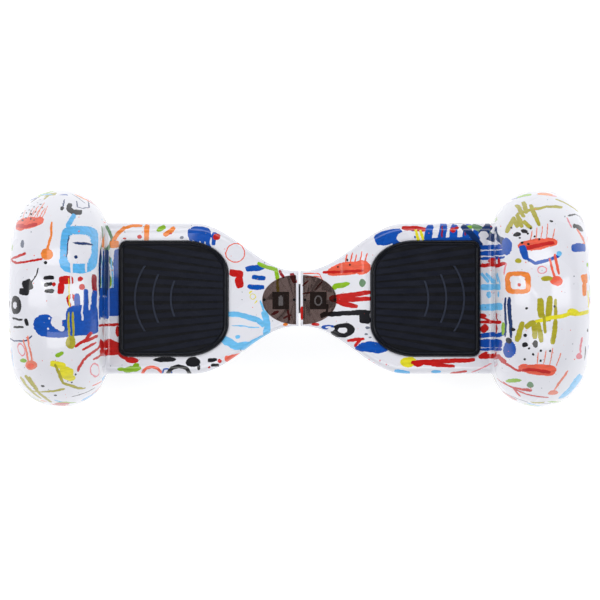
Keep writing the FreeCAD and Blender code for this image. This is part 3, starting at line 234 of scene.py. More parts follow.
PRINT["left"] += [
    # arch, rear
    (OLIVE, strokes(3, ((-312, 122), (-305, 129)), ((-322, 123), (-318, 126)))),
    (SALMON, strokes(1, ((-331, 99), (-325, 110)), ((-328, 99), (-323, 108)), ((-325, 100), (-318, 113)),
                     ((-322, 99), (-316, 109)), ((-319, 99), (-311, 117)), ((-316, 98), (-310, 110)),
                     ((-313, 97), (-307, 112)), ((-338, 98), (-336, 108)))),
    (CORAL, [oval(-329, 92, 17, 7, 5), oval(-340, 88, 7, 5), oval(-316, 94, 6, 5)]),
    (RED, strokes(3.5, ((-345, 89), (-332, 88), (-319, 90)))),
    (INK, strokes(2.4, ((-329, 118), (-322, 123)))
     + dots(1.5, (-333, 114), (-324, 112), (-316, 115), (-340, 104), (-327, 103))
     + dots(1.1, (-330, 108), (-341, 100), (-327, 97), (-338, 95), (-334, 104), (-321, 106), (-336, 118),
            (-330, 122))
     + dots(0.8, (-318, 121), (-313, 111), (-334, 98), (-322, 95), (-344, 96), (-327, 107), (-320, 117))
     + stroke(5, (-280, 115), (-281, 109), (-276, 105), (-267, 105)) + [dot(-289, 109, 2.4)]),
    (NAVY, stroke(1.4, (-288, 111), (-287, 121))
     + stroke(1.3, (-272, 119), (-271, 112), (-265, 110), (-257, 111), (-260, 120))
     + stroke(1.2, (-279, 128), (-263, 117))),
    # big open box
    (SKY, [frame_line(-266.5, 59.5, 22.5, 28.5, 8.5)] + stroke(5, (-280, 88), (-274, 101))),
    (NAVY, stroke(1.2, (-279, 75), (-281, 50)) + [oval(-262, 66.5, 12, 1.6, -8), dot(-270, 50, 2.2)]),
    (PAPER, strokes(2.2, ((-275, 44), (-274, 31)), ((-257, 43), (-257, 33)))),
    (MOSS, stroke(3.4, (-242, 88), (-240, 72), (-238, 56), (-240, 42))),
    (ORANGE, [dot(-304, 53.5, 7)] + stroke(2.6, (-304, 57), (-301, 76), (-300, 92))),
    (RED, strokes(2.4, ((-350, 47), (-340, 51), (-332, 54.5)),
                  ((-349, 46), (-341, 43.5), (-326, 45), (-310, 48)))),
    (INK, [dot(-306, 43, 2.2), oval(-351, -7, 2.5, 4)]),
    (ASH, [oval(-335.5, 66, 2, 5)]),
    (LIME, [oval(-349, 62, 2, 4), oval(-241, 20, 2, 7)]),
    (INK, [block(-328, 16, 6, 6.5, 20), block(-332, 8, 6, 4, -10), loop(-344, -8, 9, 11, 6)]
     + stroke(1.4, (-324, 18), (-317, 28), (-315, 36))),
    # marks beside the ring: three short bars and a red pennant with a hook
    (INK, [block(-302, 25, 6.5, 2.4), block(-303, 17, 5, 2.4, 8), block(-301, 9, 6, 2.4, -6)]),
    (RED, [dot(-296, 17, 2.6), block(-281, 22, 9, 5, 4), block(-287, 12, 4, 7), oval(-273, -4, 7, 10, 24),
           oval(-264, 24, 3, 3), oval(-262, 14, 3.4, 4)]),
    (PAPER, stroke(1.6, (-275, 27), (-275, -15)) + [oval(-274, -4, 2.6, 4.5, 20)]),
    (YELLOW, stroke(0.9, (-277.5, 24), (-277.5, -13))),
    (WINE, stroke(5, (-248, 27), (-247, 0))),
    (NAVY, stroke(2, (-256, 8), (-255, -5)) + stroke(6, (-237, 57), (-236, 5))),
    (PALE_BLUE, stroke(1.6, (-231, 50), (-229, 10))),
    (ROYAL, [block(-222, 34, 6.5, 26)]),
    # arch, front
    (ROYAL, [oval(-307, -32, 13.5, 13.5), block(-276, -36, 34, 10, 4), block(-261, -24, 20, 17, 6),
             block(-268, -8, 3.6, 14), block(-257.5, -4, 2.8, 16), block(-248, -5, 3.4, 15),
             block(-242, -12, 3, 14)]),
    (PAPER, [oval(-292, -29, 6.4, 8, 20), oval(-287, -36, 4.4, 3.4), dot(-301, -24, 1.4), dot(-302, -37, 1.2)]
     + strokes(1.6, ((-261, -5), (-262, -26)), ((-253, 3), (-253, -14)))),
    (INK, strokes(2.2, ((-347, -24), (-335, -26)), ((-346, -34), (-334, -35)))
     + [block(-329, -29, 2.4, 5, 10)]),
    (NAVY, stroke(1.3, (-352, -47), (-346, -51), (-330, -51), (-323, -46))),
    (OLIVE, strokes(2.2, ((-278, -17), (-278, -45)), ((-273, -17), (-273, -46)))
     + [oval(-276, -53, 6, 8)]),
    (SALMON, strokes(1.8, ((-333, -50), (-327, -80)), ((-328, -46), (-323, -78)))
     + [oval(-325, -81, 8, 6, 10)]),
    (CORAL, [oval(-326, -82, 5, 3.4, 10)]),
    (PINK, [loop(-337, -62, 5, 9, 1.2, 15), loop(-249, -87, 6, 9, 1.4)]),
    (LIME, [oval(-335, -75.5, 5, 2.5), oval(-290, -67.5, 6, 2.6, 25)]),
    (YELLOW, [block(-292, -80, 9, 4.5, -12), block(-283, -90, 8, 8, -25), oval(-278, -96, 6, 4)]),
    (OLIVE, stroke(3, (-295, -80), (-287, -103), (-270, -109), (-262, -109))
     + strokes(4, ((-340, -97), (-318, -122)), ((-333, -95), (-320, -112)), ((-328, -97), (-305, -127)),
               ((-338, -113), (-316, -128)))
     + stroke(2, (-330, -112), (-286, -110))),
    (RED, stroke(3, (-270, -58), (-258, -50), (-252, -42)) + stroke(3, (-262, -53), (-245, -45))
     + stroke(2.6, (-269, -88), (-262, -75), (-247, -62), (-238, -57))
     + strokes(2.4, ((-262, -62), (-247, -53)), ((-250, -74), (-240, -66)))),
    (INK, dots(1.3, (-272, -92), (-276, -102)) + stroke(1.6, (-278, -120), (-262, -115), (-252, -110))
     + [oval(-312, -106, 2.4, 1.4), oval(-298, -118, 1.6, 2)]),
    (CORAL, stroke(3, (-239, -93), (-252, -106)) + [oval(-246, -122, 5, 3, -30)]),
    (SKY, stroke(2.2, (-350, -60), (-349, -82)) + stroke(2.2, (-300, -124), (-284, -128))),
    # deck, rear
    (ORANGE, [block(-227, 66, 6, 4.5)] + stroke(4.5, (-228, 70), (-222, 80), (-215, 87))
     + stroke(3.2, (-216, 86), (-206, 90), (-194, 90)) + stroke(5.5, (-187, 89), (-188, 72))
     + stroke(5, (-165, 78), (-155, 87))),
    (RED, [oval(-197, 76.5, 3, 2.5), oval(-214, 73.5, 2.4, 1.2), oval(-159, 80, 2, 1.2)]),
    (LIME, [oval(-170, 86, 6, 3, 30)]),
    (ASH, [oval(-145, 75, 3, 1.6)]),
    (ROYAL, [block(-122, 79, 13, 9, -6), block(-112, 72, 4, 10), block(-126, 70, 3, 7),
             block(-105, 74, 4, 8, -14), oval(-134, 77, 3, 9, 8), block(-119, 69, 2.4, 6)]),
    (PAPER, [oval(-108.5, 70, 1.2, 5), oval(-116, 66, 1, 4)]),
    (RED, [oval(-101, 76, 4.8, 4.4)]),
    (CORAL, [loop(-78.5, 56, 12, 12, 1.3)]),
    (RED, [block(-78, 31, 9, 4.4, -8), block(-74, 20, 5, 7.5, 14)]),
    (ROYAL, stroke(5.4, (-64, 36), (-46, 38)) + stroke(4.6, (-57, 27), (-44, 25.5))
     + stroke(5.4, (-61, 15), (-45, 14))),
    (LIME, stroke(4, (-50, 42), (-40, 38), (-32, 36)) + stroke(4, (-30, 36), (-27, 24))),
    (OLIVE, stroke(3, (-27, 24), (-26, 8))),
    (WINE, stroke(3, (-25, 34), (-20, 27)) + stroke(5, (-9, 30), (-6, 21))),
    (YELLOW, [loop(-57, 3, 4, 3.4, 0.9), oval(-60, 8, 2.6, 0.8, 40), oval(-53, -3, 2.6, 0.8, 60)]),
    # deck, front: the second open box
    (PALE_BLUE, stroke(5.5, (-92, -19), (-74, -20), (-52, -26), (-45, -32))
     + stroke(7, (-43, -18), (-39, -34), (-42, -50))
     + stroke(2.2, (-48, -2), (-42, -18)) + stroke(8, (-92, -50), (-78, -59), (-60, -57), (-44, -49))
     + stroke(1.2, (-83, -33), (-50, -35)) + [oval(-76, -47, 3, 2.2)] + stroke(7, (-96, -46), (-90, -53))),
    (ROYAL, [block(-228, -5, 8, 18)]),
    (RED, stroke(2.6, (-243, -33), (-220, -32)) + [oval(-223, -40, 3, 6)]),
    (WINE, [oval(-228, -58, 9, 6, -20)]),
    (RED, [block(-230, -57, 9.5, 6.5, -25), block(-229, -66, 10, 4.5), oval(-206, -76, 8, 4)]
     + stroke(4, (-221, -70), (-211, -75))),
    (LIME, [oval(-206, -87, 12, 3.6, 6), oval(-201, -83, 4, 3.5), oval(-219, -87, 5, 2.4)]),
    (CORAL, stroke(3, (-193, -92), (-188, -86), (-181, -84), (-174, -86), (-169, -92))),
    (ROYAL, stroke(1.8, (-169, -93), (-166, -87), (-160, -87), (-157, -92))),
    (INK, [oval(-166, -75, 14, 3.4), oval(-131, -78, 9, 6.4), oval(-124, -84, 2, 4)]
     + stroke(4, (-162, -93), (-156, -85), (-148, -83), (-139, -86), (-135, -93))
     + [block(-107, -75, 6, 2.4, 5), block(-104, -82, 5, 2.2, -8)]),
    (RED, [dot(-98, -77, 2.6), dot(-111, -84, 1.6)]),
    (CORAL, [block(-88, -74, 4, 4), block(-79, -71, 8, 2.4, 16)]),
    (ORANGE, [oval(-17, -32, 3, 2)]),
    (WINE, stroke(2.6, (-14, -14), (-12, -26)) + stroke(2, (-19, -24), (-10, -20))
     + [oval(-30, -18, 5, 2, 30)]),
]

PRINT["right"] += [
    # neck
    (CORAL, stroke(1.2, (5, 31), (25, 30), (29, 22)) + stroke(1.2, (8, 26), (26, 26))
     + strokes(1.4, ((56, 44), (58, 54)), ((62, 44), (65, 56)), ((68, 44), (70, 54)), ((74, 44), (77, 57)),
               ((80, 44), (83, 55)))),
    (CORAL, [oval(60, 37, 24, 8, 8), oval(76, 38, 12, 9), oval(44, 32, 9, 4, 10)]),
    (RED, stroke(3, (31, 32), (48, 33), (78, 34))),
    (INK, [oval(58.5, 47, 1.4, 1.8), oval(61.5, 41.5, 1.3, 1.3), oval(47, 39, 1, 1)]),
    (WINE, strokes(1.6, ((4, 16), (10, 21)), ((20, 12), (28, 20)), ((5, 6), (14, 9)))),
    (LIME, [oval(51, 16.5, 11, 3.6, 8), oval(43, 13, 3, 2)]),
    (MOSS, [oval(77, 19, 4, 5)]),
    (RED, strokes(5, ((40, 1), (86, 8)), ((44, -2), (90, 0)), ((47, -4), (70, -10)))
     + [oval(44, 0, 8, 4.4), block(3, -18, 1.8, 8), oval(20, -32, 5, 2)]),
    (INK, strokes(5, ((33, -19), (86, -17))) + [block(80, -24, 7, 7), block(29, -20, 4, 3, 30)]
     + stroke(3, (34, -8), (33, -18))),
    (ROYAL, [loop(35, -35, 8, 3, 1.8)]),
    (INK, [loop(53, -39, 15, 8.5, 5, 4)]),
    (PAPER, [oval(38, -38, 5, 2.4, 20)]),
    (ASH, [oval(84, -36, 3, 2), oval(82, -44, 2.4, 1.4), oval(87, -48, 2, 1)]),
    (RED, strokes(3, ((60, -51), (79, -50)), ((75, -51), (68, -58)))),
    (ROYAL, [oval(90, -60, 18, 6.5, -6), oval(76, -61, 8, 4)]),
    # deck, rear
    (ROYAL, [block(112, 76, 15, 9, 14), block(100, 74, 8, 7, 20), block(119, 73, 5, 9)]
     + dots(1.6, (139, 84), (142, 76), (137, 70))),
    (PAPER, [oval(127, 75, 8, 6.5)]),
    (RED, stroke(5, (127, 87), (156, 86))),
    (YELLOW, strokes(3, ((143, 84), (147, 68)), ((149, 84), (154, 68)))),
    (ROYAL, [block(187, 71, 34, 4)]
     + strokes(8, ((158, 70), (160, 88)), ((174, 72), (177, 89)), ((188, 72), (190, 88)),
               ((204, 72), (208, 88)), ((216, 70), (218, 82)))),
    (PAPER, [oval(167, 82, 3.4, 6, 10), oval(197, 81, 2.6, 5)]),
    (RED, [block(188, 84, 3, 3.5, 40), oval(193, 87, 3, 2)]),
    (WINE, strokes(1.6, ((175, 88), (175, 76)), ((205, 88), (204, 77)))),
    (LIME, [oval(209, 87, 5, 2.4)]),
    (MOSS, stroke(6, (215, 88), (224, 84), (233, 79))),
    (NAVY, stroke(6, (201, 88), (212, 78), (222, 66)) + stroke(8, (232, 88), (239, 80), (246, 70))),
    (PAPER, [oval(226, 78, 6, 5), oval(245, 84, 1.2, 5)]),
    (ROYAL, strokes(5, ((222, 63), (248, 63)), ((222, 55.5), (248, 56))) + stroke(3, (222, 49), (247, 50))),
    (RED, stroke(4, (222, 40), (248, 42)) + [block(236, 46, 4, 4, 45)]),
    (PALE_BLUE, strokes(3.4, ((224, 30), (231, 21)), ((230, 30), (238, 19)))
     + [block(231, 14, 9, 3.6), oval(241, 5, 3, 4), block(234, -10, 12, 4.4)]),
    # deck, front
    (RED, [oval(239, -21, 5, 3.4)] + stroke(2, (239, -23), (238, -30)) + stroke(3.4, (222, -29), (244, -29))
     + [block(227, -37, 5, 4.5, 40)]),
    (ROYAL, stroke(4.6, (222, -46), (246, -43)) + [block(233, -55, 12, 5.4)]
     + stroke(3, (222, -63), (245, -62))),
    (RED, stroke(3.4, (221, -72), (229, -67)) + stroke(5, (222, -72), (243, -71), (249, -77))),
    (YELLOW, [oval(134, -78, 10, 6)]),
    (RED, strokes(4.4, ((139, -79), (176, -77)), ((172, -77), (214, -75))) + stroke(4, (150, -79), (188, -83))
     + stroke(2.6, (186, -92), (205, -89)) + [oval(146, -80, 7, 4)]),
    (PINK, stroke(1.2, (212, -91), (236, -80)) + dots(1.1, (86, -75), (92, -79), (99, -76), (107, -81))),
    (SKY, stroke(4, (118, -88), (134, -91)) + [oval(168, -90, 6, 2.4)]),
    # arch, rear
    (OLIVE, strokes(4.4, ((265, 114), (272, 100)), ((273, 118), (276, 105)), ((282, 113), (290, 90)))
     + stroke(2.8, (266, 103), (282, 108), (300, 111.5), (320, 112))
     + stroke(4.4, (252, 82), (260, 98), (264, 88)) + stroke(4.4, (265, 101), (269, 88))
     + stroke(4, (272, 93), (279, 86)) + stroke(4.4, (315, 121), (341, 107))),
    (INK, [oval(264, 78, 4.4, 2.6, 20), oval(272, 82, 4, 2.4, -20), oval(306, 94, 2, 1.4)]
     + dots(1.3, (257, 86.5), (279, 85), (267, 74), (284, 75), (276, 79))),
    (SALMON, strokes(1.1, ((279, 71), (281, 82)), ((286, 72), (287, 86)), ((292, 73), (294, 88)),
                     ((299, 73), (301, 90)), ((306, 72), (309, 84)))),
    (CORAL, [oval(286, 65, 21, 7, 6), oval(303, 68, 8, 6), oval(271, 64, 7, 5.5)]),
    (RED, stroke(4, (274, 61), (290, 64), (306, 67))),
    (INK, dots(1.4, (290, 71), (276, 65.5), (269, 68))),
    (ROYAL, [block(271, 56, 4, 9, 18), oval(251, 63, 6, 11)]
     + stroke(3.2, (274, 49), (284, 43), (300, 46), (312, 51))),
    (PALE_BLUE, [oval(313, 54, 3, 3)]),
    (CORAL, strokes(2.6, ((302, 47), (307, 24)), ((308, 52), (312, 30))) + [oval(309, 21, 8, 6)]),
    (OLIVE, [oval(297, 24, 7, 3), oval(264, 46, 4, 3)]),
    (PINK, [loop(292, 35, 6, 5, 1.2), oval(310, 126, 6, 3)] + stroke(1.4, (247, 30), (250, 42))),
    (ORANGE, [frame_line(263, 19, 15, 13.5, 5.5)]),
    (RED, [dot(264, 16, 2.2)]),
    (INK, stroke(1.8, (326, 101), (344, 99), (347, 91))
     + [oval(340, 86, 7, 3.4, -30), oval(334, 88, 2, 3.4)]),
    (PINK, stroke(1.6, (325, 98), (330, 86))),
    (SALMON, stroke(2.4, (337, 83), (347, 67)) + [dot(346, 66, 2.8)]),
    (ROYAL, [block(340, 62, 11, 5)]),
    (ORANGE, [block(346, 24, 7, 6, 10), block(345, 11, 4, 8)]),
    (LIME, [oval(349, 41, 4, 3)]),
    (YELLOW, stroke(4, (349, 8), (350, -10))),
    # arch, front
    (NAVY, stroke(2.2, (249, 0), (249, -46)) + stroke(3.6, (253, 0), (256, -46))),
    (ROYAL, [oval(254, -61, 7.5, 11)]),
    (INK, [oval(253, -51, 4, 3.4)]),
    (LIME, [oval(246, -37, 2.4, 8)]),
    (OLIVE, strokes(6.6, ((289, -2), (291, -20)), ((301, 0), (300, -25)))
     + stroke(3.2, (308, -2), (309, -28)) + stroke(5, (309, -28), (305, -53))),
    (YELLOW, stroke(4, (284, -27), (300, -24), (326, -19), (350, -16)) + [oval(330, -17, 8, 4.4)]),
    (OLIVE, strokes(5, ((268, -30), (263, -50)), ((273, -34), (281, -28)), ((281, -28), (284, -46)),
                    ((287, -30), (292, -51))) + stroke(3.4, (294, -20), (296, -41))),
    (INK, [oval(258, -37, 3, 2), oval(272, -44, 2.4, 2), oval(272, -56, 4, 3, 20), oval(285, -55, 3, 5)]
     + dots(1.5, (277, -61), (291, -63), (302, -63), (282, -68), (272, -73), (291, -75), (307, -10),
            (273, -12))),
    (SALMON, strokes(1.1, ((287, -78), (288, -66)), ((295, -79), (297, -63)), ((303, -80), (305, -60)),
                     ((311, -82), (315, -66)))),
    (CORAL, [oval(289, -86, 20, 7, -3), oval(302, -87, 9, 7), oval(272, -84, 7, 5)]),
    (RED, stroke(3.6, (271, -87), (287, -86), (303, -89))
     + stroke(2.4, (243, -72), (250, -79), (262, -86), (268, -88))),
    (LIME, [oval(261, -100, 9, 2.6)]),
    (MOSS, [oval(281, -105, 4, 4)]),
    (RED, stroke(3, (243, -98), (255, -106), (282, -112)) + stroke(3, (250, -102), (275, -116), (303, -121))
     + stroke(3, (262, -110), (269, -119))),
    (ASH, stroke(2.2, (245, -108), (262, -120), (280, -127)) + stroke(2, (296, -128), (308, -129))),
    (SALMON, [oval(309, -115.5, 7, 4.6)] + stroke(2.4, (311, -111), (325, -88))),
    (PALE_BLUE, stroke(10, (322, -121), (342, -97))),
    (PINK, stroke(2.2, (342, -48), (341, -66)) + [oval(339, -70, 4, 3.4)]),
    (INK, [oval(349, -39, 3, 2), oval(347, -66, 2, 8)]),
]


# --- print: from plan millimetres to the shell ---
FLAT_TURN = math.radians(60)          # the arch is printed straight down as far as this from its top
ARCH_ELLIPSE_Z = 52.0                 # drop of the arch's side, from its crown to where it stands upright
SIDE_START_DROP = 26.0                # the side counts as a wall below this drop from the crown
SIDE_STRETCH = 0.9                    # print laid on the arch's wall, per millimetre of its drop
DECK_EDGE_Z = 147.0                   # height at which the deck's top turns down into its sides
NECK_EDGE_Z = 135.0
NECK_END_X, DECK_START_X = 40.0, 100.0
# the frame's sizes again, in the print's millimetres
wheel_x, axle_z = WHEEL_X / MM, AXLE_Z / MM
arch_radius, arch_half_width = ARCH_RADIUS / MM, ARCH_HALF_WIDTH / MM
crease_x = BODY_END_X / MM - 1.5      # where the arch meets the deck


def unrolled(x, y):
    """Where a point seen from above lies on the print of the arch; the deck's print is the plan itself."""
    if abs(x) < crease_x:
        return x, y
    offset = max(-1.0, min(1.0, (abs(x) - wheel_x) / arch_half_width))
    radius = arch_radius - ARCH_ELLIPSE_Z * (1 - math.sqrt(1 - offset * offset))
    past = max(0.0, arch_radius - SIDE_START_DROP - radius) * SIDE_STRETCH
    turn = math.asin(min(1.0, abs(y) / radius))
    along = abs(y) if turn < FLAT_TURN else radius * (math.sin(FLAT_TURN) + turn - FLAT_TURN)
    return math.copysign(abs(x) + math.copysign(past, offset), x), math.copysign(along, y)


def print_point(t, place):
    """The print's own coordinates on a shell: plan millimetres, unrolled down the sides."""
    x, y, z = t.split(place)[:3]
    out, side_x, side_y = t.absolute(x), t.math("SIGN", x), t.math("SIGN", y)
    edge = t.span(out, NECK_END_X, DECK_START_X, NECK_EDGE_Z, DECK_EDGE_Z)
    drop = t.math("MAXIMUM", t.minus(edge, z), 0.0)
    deck_v = t.math("MULTIPLY_ADD", side_y, drop, y)
    height = t.minus(z, axle_z)
    radius = t.vector("LENGTH", t.join(0.0, y, height))
    turn = t.absolute(t.math("ARCTAN2", y, height))
    wrapped = t.times(radius, t.plus(turn, math.sin(FLAT_TURN) - FLAT_TURN))
    wrapped = t.times(wrapped, side_y)
    arch_v = t.mix_value(t.over(turn, FLAT_TURN), y, wrapped)
    side_start = arch_radius - SIDE_START_DROP
    past = t.times(t.math("MAXIMUM", t.minus(side_start, radius), 0.0), SIDE_STRETCH)
    past = t.times(past, t.math("SIGN", t.minus(out, wheel_x)))
    arch_u = t.times(t.plus(out, past), side_x)
    on_arch = t.over(out, crease_x)
    return t.join(t.mix_value(on_arch, x, arch_u), t.mix_value(on_arch, deck_v, arch_v), 1.0)


BRUSH_SWELL = 1.22         # paint runs out a little on either side of a stroke
BRUSH_OVERRUN = 0.35       # and past its end, by this share of the stroke's width
BLOCK_POWER = 4.0          # corners of a block: 2 is an oval, and more is squarer


def mark_axes(t, point, x, y, half_x, half_y, turn):
    """The point along and across a mark, each from -1 to 1 inside it. The point's third number is 1."""
    across = []
    for half, angle in ((half_x, turn), (half_y, turn + math.pi / 2)):
        along_x, along_y = math.cos(angle) / half, math.sin(angle) / half
        across.append(t.vector("DOT_PRODUCT", point, (along_x, along_y, -x * along_x - y * along_y)))
    return across


def mark_field(t, point, mark):
    """A value that is under 1 inside the mark."""
    kind, x, y = mark[:3]
    x, y = unrolled(x, y)
    if kind == "line":
        x1, y1 = unrolled(mark[3], mark[4])
        width = mark[5] * BRUSH_SWELL
        half_x, half_y = math.hypot(x1 - x, y1 - y) / 2 + width * BRUSH_OVERRUN, width / 2
        turn = math.atan2(y1 - y, x1 - x)
        x, y = (x + x1) / 2, (y + y1) / 2
    else:
        half_x, half_y, turn = mark[3:6]
    power = 2.0 if kind in ("oval", "loop") else BLOCK_POWER
    along, across = mark_axes(t, point, x, y, half_x, half_y, turn)
    field = t.plus(t.math("POWER", along, power), t.math("POWER", across, power))
    if kind in ("oval", "line", "block"):
        return field
    inner = (1 - mark[6] / min(half_x, half_y)) ** power
    middle, half = (1 + inner) / 2, (1 - inner) / 2
    return t.absolute(t.math("MULTIPLY_ADD", field, 1 / half, -middle / half))


def paint_layer(name, tint, marks):
    """A node group that lays one colour's marks over the paint beneath. Small groups build quickly."""
    group = bpy.data.node_groups.new(name, "ShaderNodeTree")
    for socket, kind in (("Point", "Vector"), ("Ragged", "Float"), ("Paint", "Color")):
        group.interface.new_socket(name=socket, in_out="INPUT", socket_type="NodeSocket" + kind)
    group.interface.new_socket(name="Paint", in_out="OUTPUT", socket_type="NodeSocketColor")
    t = Tree(name, group)
    point, ragged, paint = t.put("NodeGroupInput").outputs[:3]
    field = None
    for mark in marks:
        value = mark_field(t, point, mark)
        field = value if field is None else t.math("MINIMUM", field, value)
    inside = t.under(t.plus(field, ragged), 1.0)
    t.put("NodeGroupOutput", {0: t.mix(inside, paint, tint)})
    return group


DECK_REACH, ARCH_REACH = 106.0, 142.0     # the loose marks start past this, fore and aft
WALL_REACH = 9.0                          # and this far down the arch's outer wall
LOOSE_STROKES = ((0.5, 23, 60), (-0.9, 10, 52), (1.4, 30, 34))     # turn, and the grid's two spacings
LOOSE_COLOURS = (ROYAL, CORAL, OLIVE, RED, SKY, INK, LIME, ORANGE)
LOOSE_RADIUS = 0.27                       # of a mark, as a share of the spacing
LOOSE_SKIPPED = 0.45                      # share of the marks left out


def filler(t, point, base):
    """Loose brush marks where no mark is placed: low on the sides, out of sight from above."""
    u, v = t.split(point)[:2]
    reach = t.mix_value(t.over(t.absolute(u), crease_x), DECK_REACH, ARCH_REACH)
    low = t.over(t.absolute(v), reach)
    outer = t.over(t.absolute(u), wheel_x + arch_half_width + WALL_REACH)
    where = t.math("MAXIMUM", low, outer)
    result = base
    for turn, spacing_u, spacing_v in LOOSE_STROKES:
        turned = t.put("ShaderNodeMapping", {"Vector": point, "Rotation": (0.0, 0.0, turn)}).outputs[0]
        scale = (1 / spacing_u, 1 / spacing_v, 1.0)
        cell = t.put(
            "ShaderNodeTexVoronoi",
            {"Vector": t.stretched(turned, scale), "Scale": 1.0, "Randomness": 1.0},
            voronoi_dimensions="2D",
        )
        pick = t.split(cell.outputs["Color"])
        ramp = t.put("ShaderNodeValToRGB", {0: pick[0]})
        ramp.color_ramp.interpolation = "CONSTANT"
        for index, choice in enumerate(LOOSE_COLOURS):
            at = index / len(LOOSE_COLOURS)
            element = ramp.color_ramp.elements[index] if index < 2 else ramp.color_ramp.elements.new(at)
            element.position = at
            element.color = choice
        inside = t.under(cell.outputs["Distance"], LOOSE_RADIUS)
        kept = t.over(pick[1], LOOSE_SKIPPED)
        factor = t.times(t.times(inside, kept), where)
        result = t.mix(factor, result, ramp.outputs[0])
    return result


SPECKS_PER_MM = 0.11
SPECK_RADIUS = 0.085       # of the largest, as a share of their spacing
SPECK_SKIPPED = 0.72       # share of the specks left out


def specks(t, point, base):
    """Fine spatter of paint."""
    cell = t.put(
        "ShaderNodeTexVoronoi",
        {"Vector": point, "Scale": SPECKS_PER_MM, "Randomness": 1.0},
        voronoi_dimensions="2D",
    )
    pick = t.split(cell.outputs["Color"])
    small = t.under(cell.outputs["Distance"], t.times(pick[2], SPECK_RADIUS))
    rare = t.over(pick[1], SPECK_SKIPPED)
    tint = t.mix(t.over(pick[0], 0.5), ASH, CORAL)
    return t.mix(t.times(small, rare), base, tint)


COVER_SHADE_TINT = (0.9, 0.64, 0.56)  # painted shade: the tint that light through the smoked cover would cast, multiplied into the shell's colours under it
COVER_MARGIN = 0.3


def cover_outline(side):
    """The smoked cover's plan: half of this oval, beside the slot."""
    low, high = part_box("indicator_cover_" + side)
    edge = min(abs(low.x), abs(high.x)) / MM
    half_x = max(abs(low.x), abs(high.x)) / MM - edge + COVER_MARGIN
    half_y = (high.y - low.y) / 2 / MM + COVER_MARGIN
    return oval(SIDES[side] * edge, (low.y + high.y) / 2 / MM, half_x, half_y)


PAPER_BRIGHTNESS = 0.72    # paint brighter than this is bare paper, which shows no brush streaks


def printed_shell(name, side):
    """White gloss moulding under a water-transfer print and a clear coat."""
    t = Tree(name)
    place = t.place()
    point = print_point(t, place)
    fine = t.vector("SUBTRACT", t.noise(place, 4.0, 2.0)[1], (0.5, 0.5, 0.5))
    broad = t.vector("SUBTRACT", t.noise(place, 22.0, 1.0)[1], (0.5, 0.5, 0.5))
    wobble = t.vector("ADD", t.stretched(fine, (1.8, 1.8, 0.0)), t.stretched(broad, (4.0, 4.0, 0.0)))
    point = t.vector("ADD", point, wobble)
    ragged = t.math("MULTIPLY_ADD", t.noise(place, 2.2, 3.0, 0.7)[0], 0.5, -0.25)
    cloud = t.noise(place, 60.0, 2.0)[0]
    paint = t.mix(cloud, PAPER, colour(230, 230, 236))
    dry = t.noise(t.stretched(place, (0.25, 1.0, 1.0)), 3.0, 2.0)[0]
    shade = t.span(dry, 0.3, 0.7, 0.86, 1.12)
    for index, (tint, marks) in enumerate(PRINT[side]):
        layer = t.put("ShaderNodeGroup", node_tree=paint_layer(f"{side}_layer_{index}", tint, marks))
        for socket, value in enumerate((point, ragged, paint)):
            t.feed(layer.inputs[socket], value)
        paint = layer.outputs[0]
    paint = filler(t, point, specks(t, point, paint))
    worn = t.put("ShaderNodeVectorMath", {0: paint, "Scale": shade}, operation="SCALE").outputs[0]
    brightness = t.vector("DOT_PRODUCT", paint, (0.333, 0.333, 0.333))
    bright = t.over(brightness, PAPER_BRIGHTNESS)
    paint = t.mix(bright, worn, paint)
    x, y = t.split(place)[:2]
    # painted shade: under the smoked cover the print is darkened and browned, standing in for the light the
    # cover filters
    under_cover = t.under(mark_field(t, t.join(x, y, 1.0), cover_outline(side)), 1.0)
    past_edge = t.over(t.absolute(x), COVER_EDGE_X / MM)
    painted_cover_shade = t.vector("MULTIPLY", paint, COVER_SHADE_TINT)
    paint = t.mix(t.times(under_cover, past_edge), paint, painted_cover_shade)
    peel = t.bump(t.noise(place, 2.6, 1.0)[0], 0.05, 0.0003)
    return t.finish(
        Base_Color=paint,
        Roughness=t.span(cloud, 0.3, 0.7, 0.24, 0.34),
        Specular_IOR_Level=0.2,
        Normal=peel,
        Coat_Weight=0.7,
        Coat_Roughness=0.035,
    )


# --- other materials ---
def moulded(name, tint, roughness=0.45, grain=0.4):
    """Moulded plastic with a fine sparked grain and a slight unevenness of tone."""
    tint = colour(*tint)
    t = Tree(name)
    place = t.place()
    tone = t.noise(place, 18.0, 3.0)[0]
    fine = t.noise(place, 0.7, 2.0)[0]
    dark = tuple(c * 0.8 for c in tint[:3]) + (1.0,)
    return t.finish(
        Base_Color=t.mix(t.span(tone, 0.3, 0.7), dark, tint),
        Roughness=t.span(tone, 0.3, 0.7, roughness - 0.06, roughness + 0.08),
        Specular_IOR_Level=0.5,
        Normal=t.bump(fine, grain, 0.0002),
    )


def rubber(name, tint, roughness=0.62):
    """Rubber: dull, lightly dusty in random patches, with a moulded grain."""
    tint = colour(*tint)
    t = Tree(name)
    place = t.place()
    tone = t.noise(place, 14.0, 4.0)[0]
    fine = t.noise(place, 0.9, 3.0)[0]
    dust = tuple(c * 1.7 + 0.004 for c in tint[:3]) + (1.0,)
    return t.finish(
        Base_Color=t.mix(t.span(tone, 0.45, 0.75), tint, dust),
        Roughness=t.span(tone, 0.3, 0.7, roughness - 0.08, roughness + 0.08),
        Specular_IOR_Level=0.35,
        Normal=t.bump(fine, 0.45, 0.0003),
    )


PAD_RIB_DROP = 1.6         # from the pad's rim down to the tops of its ribs, in millimetres
PAD_RIB_HEIGHT = 1.3


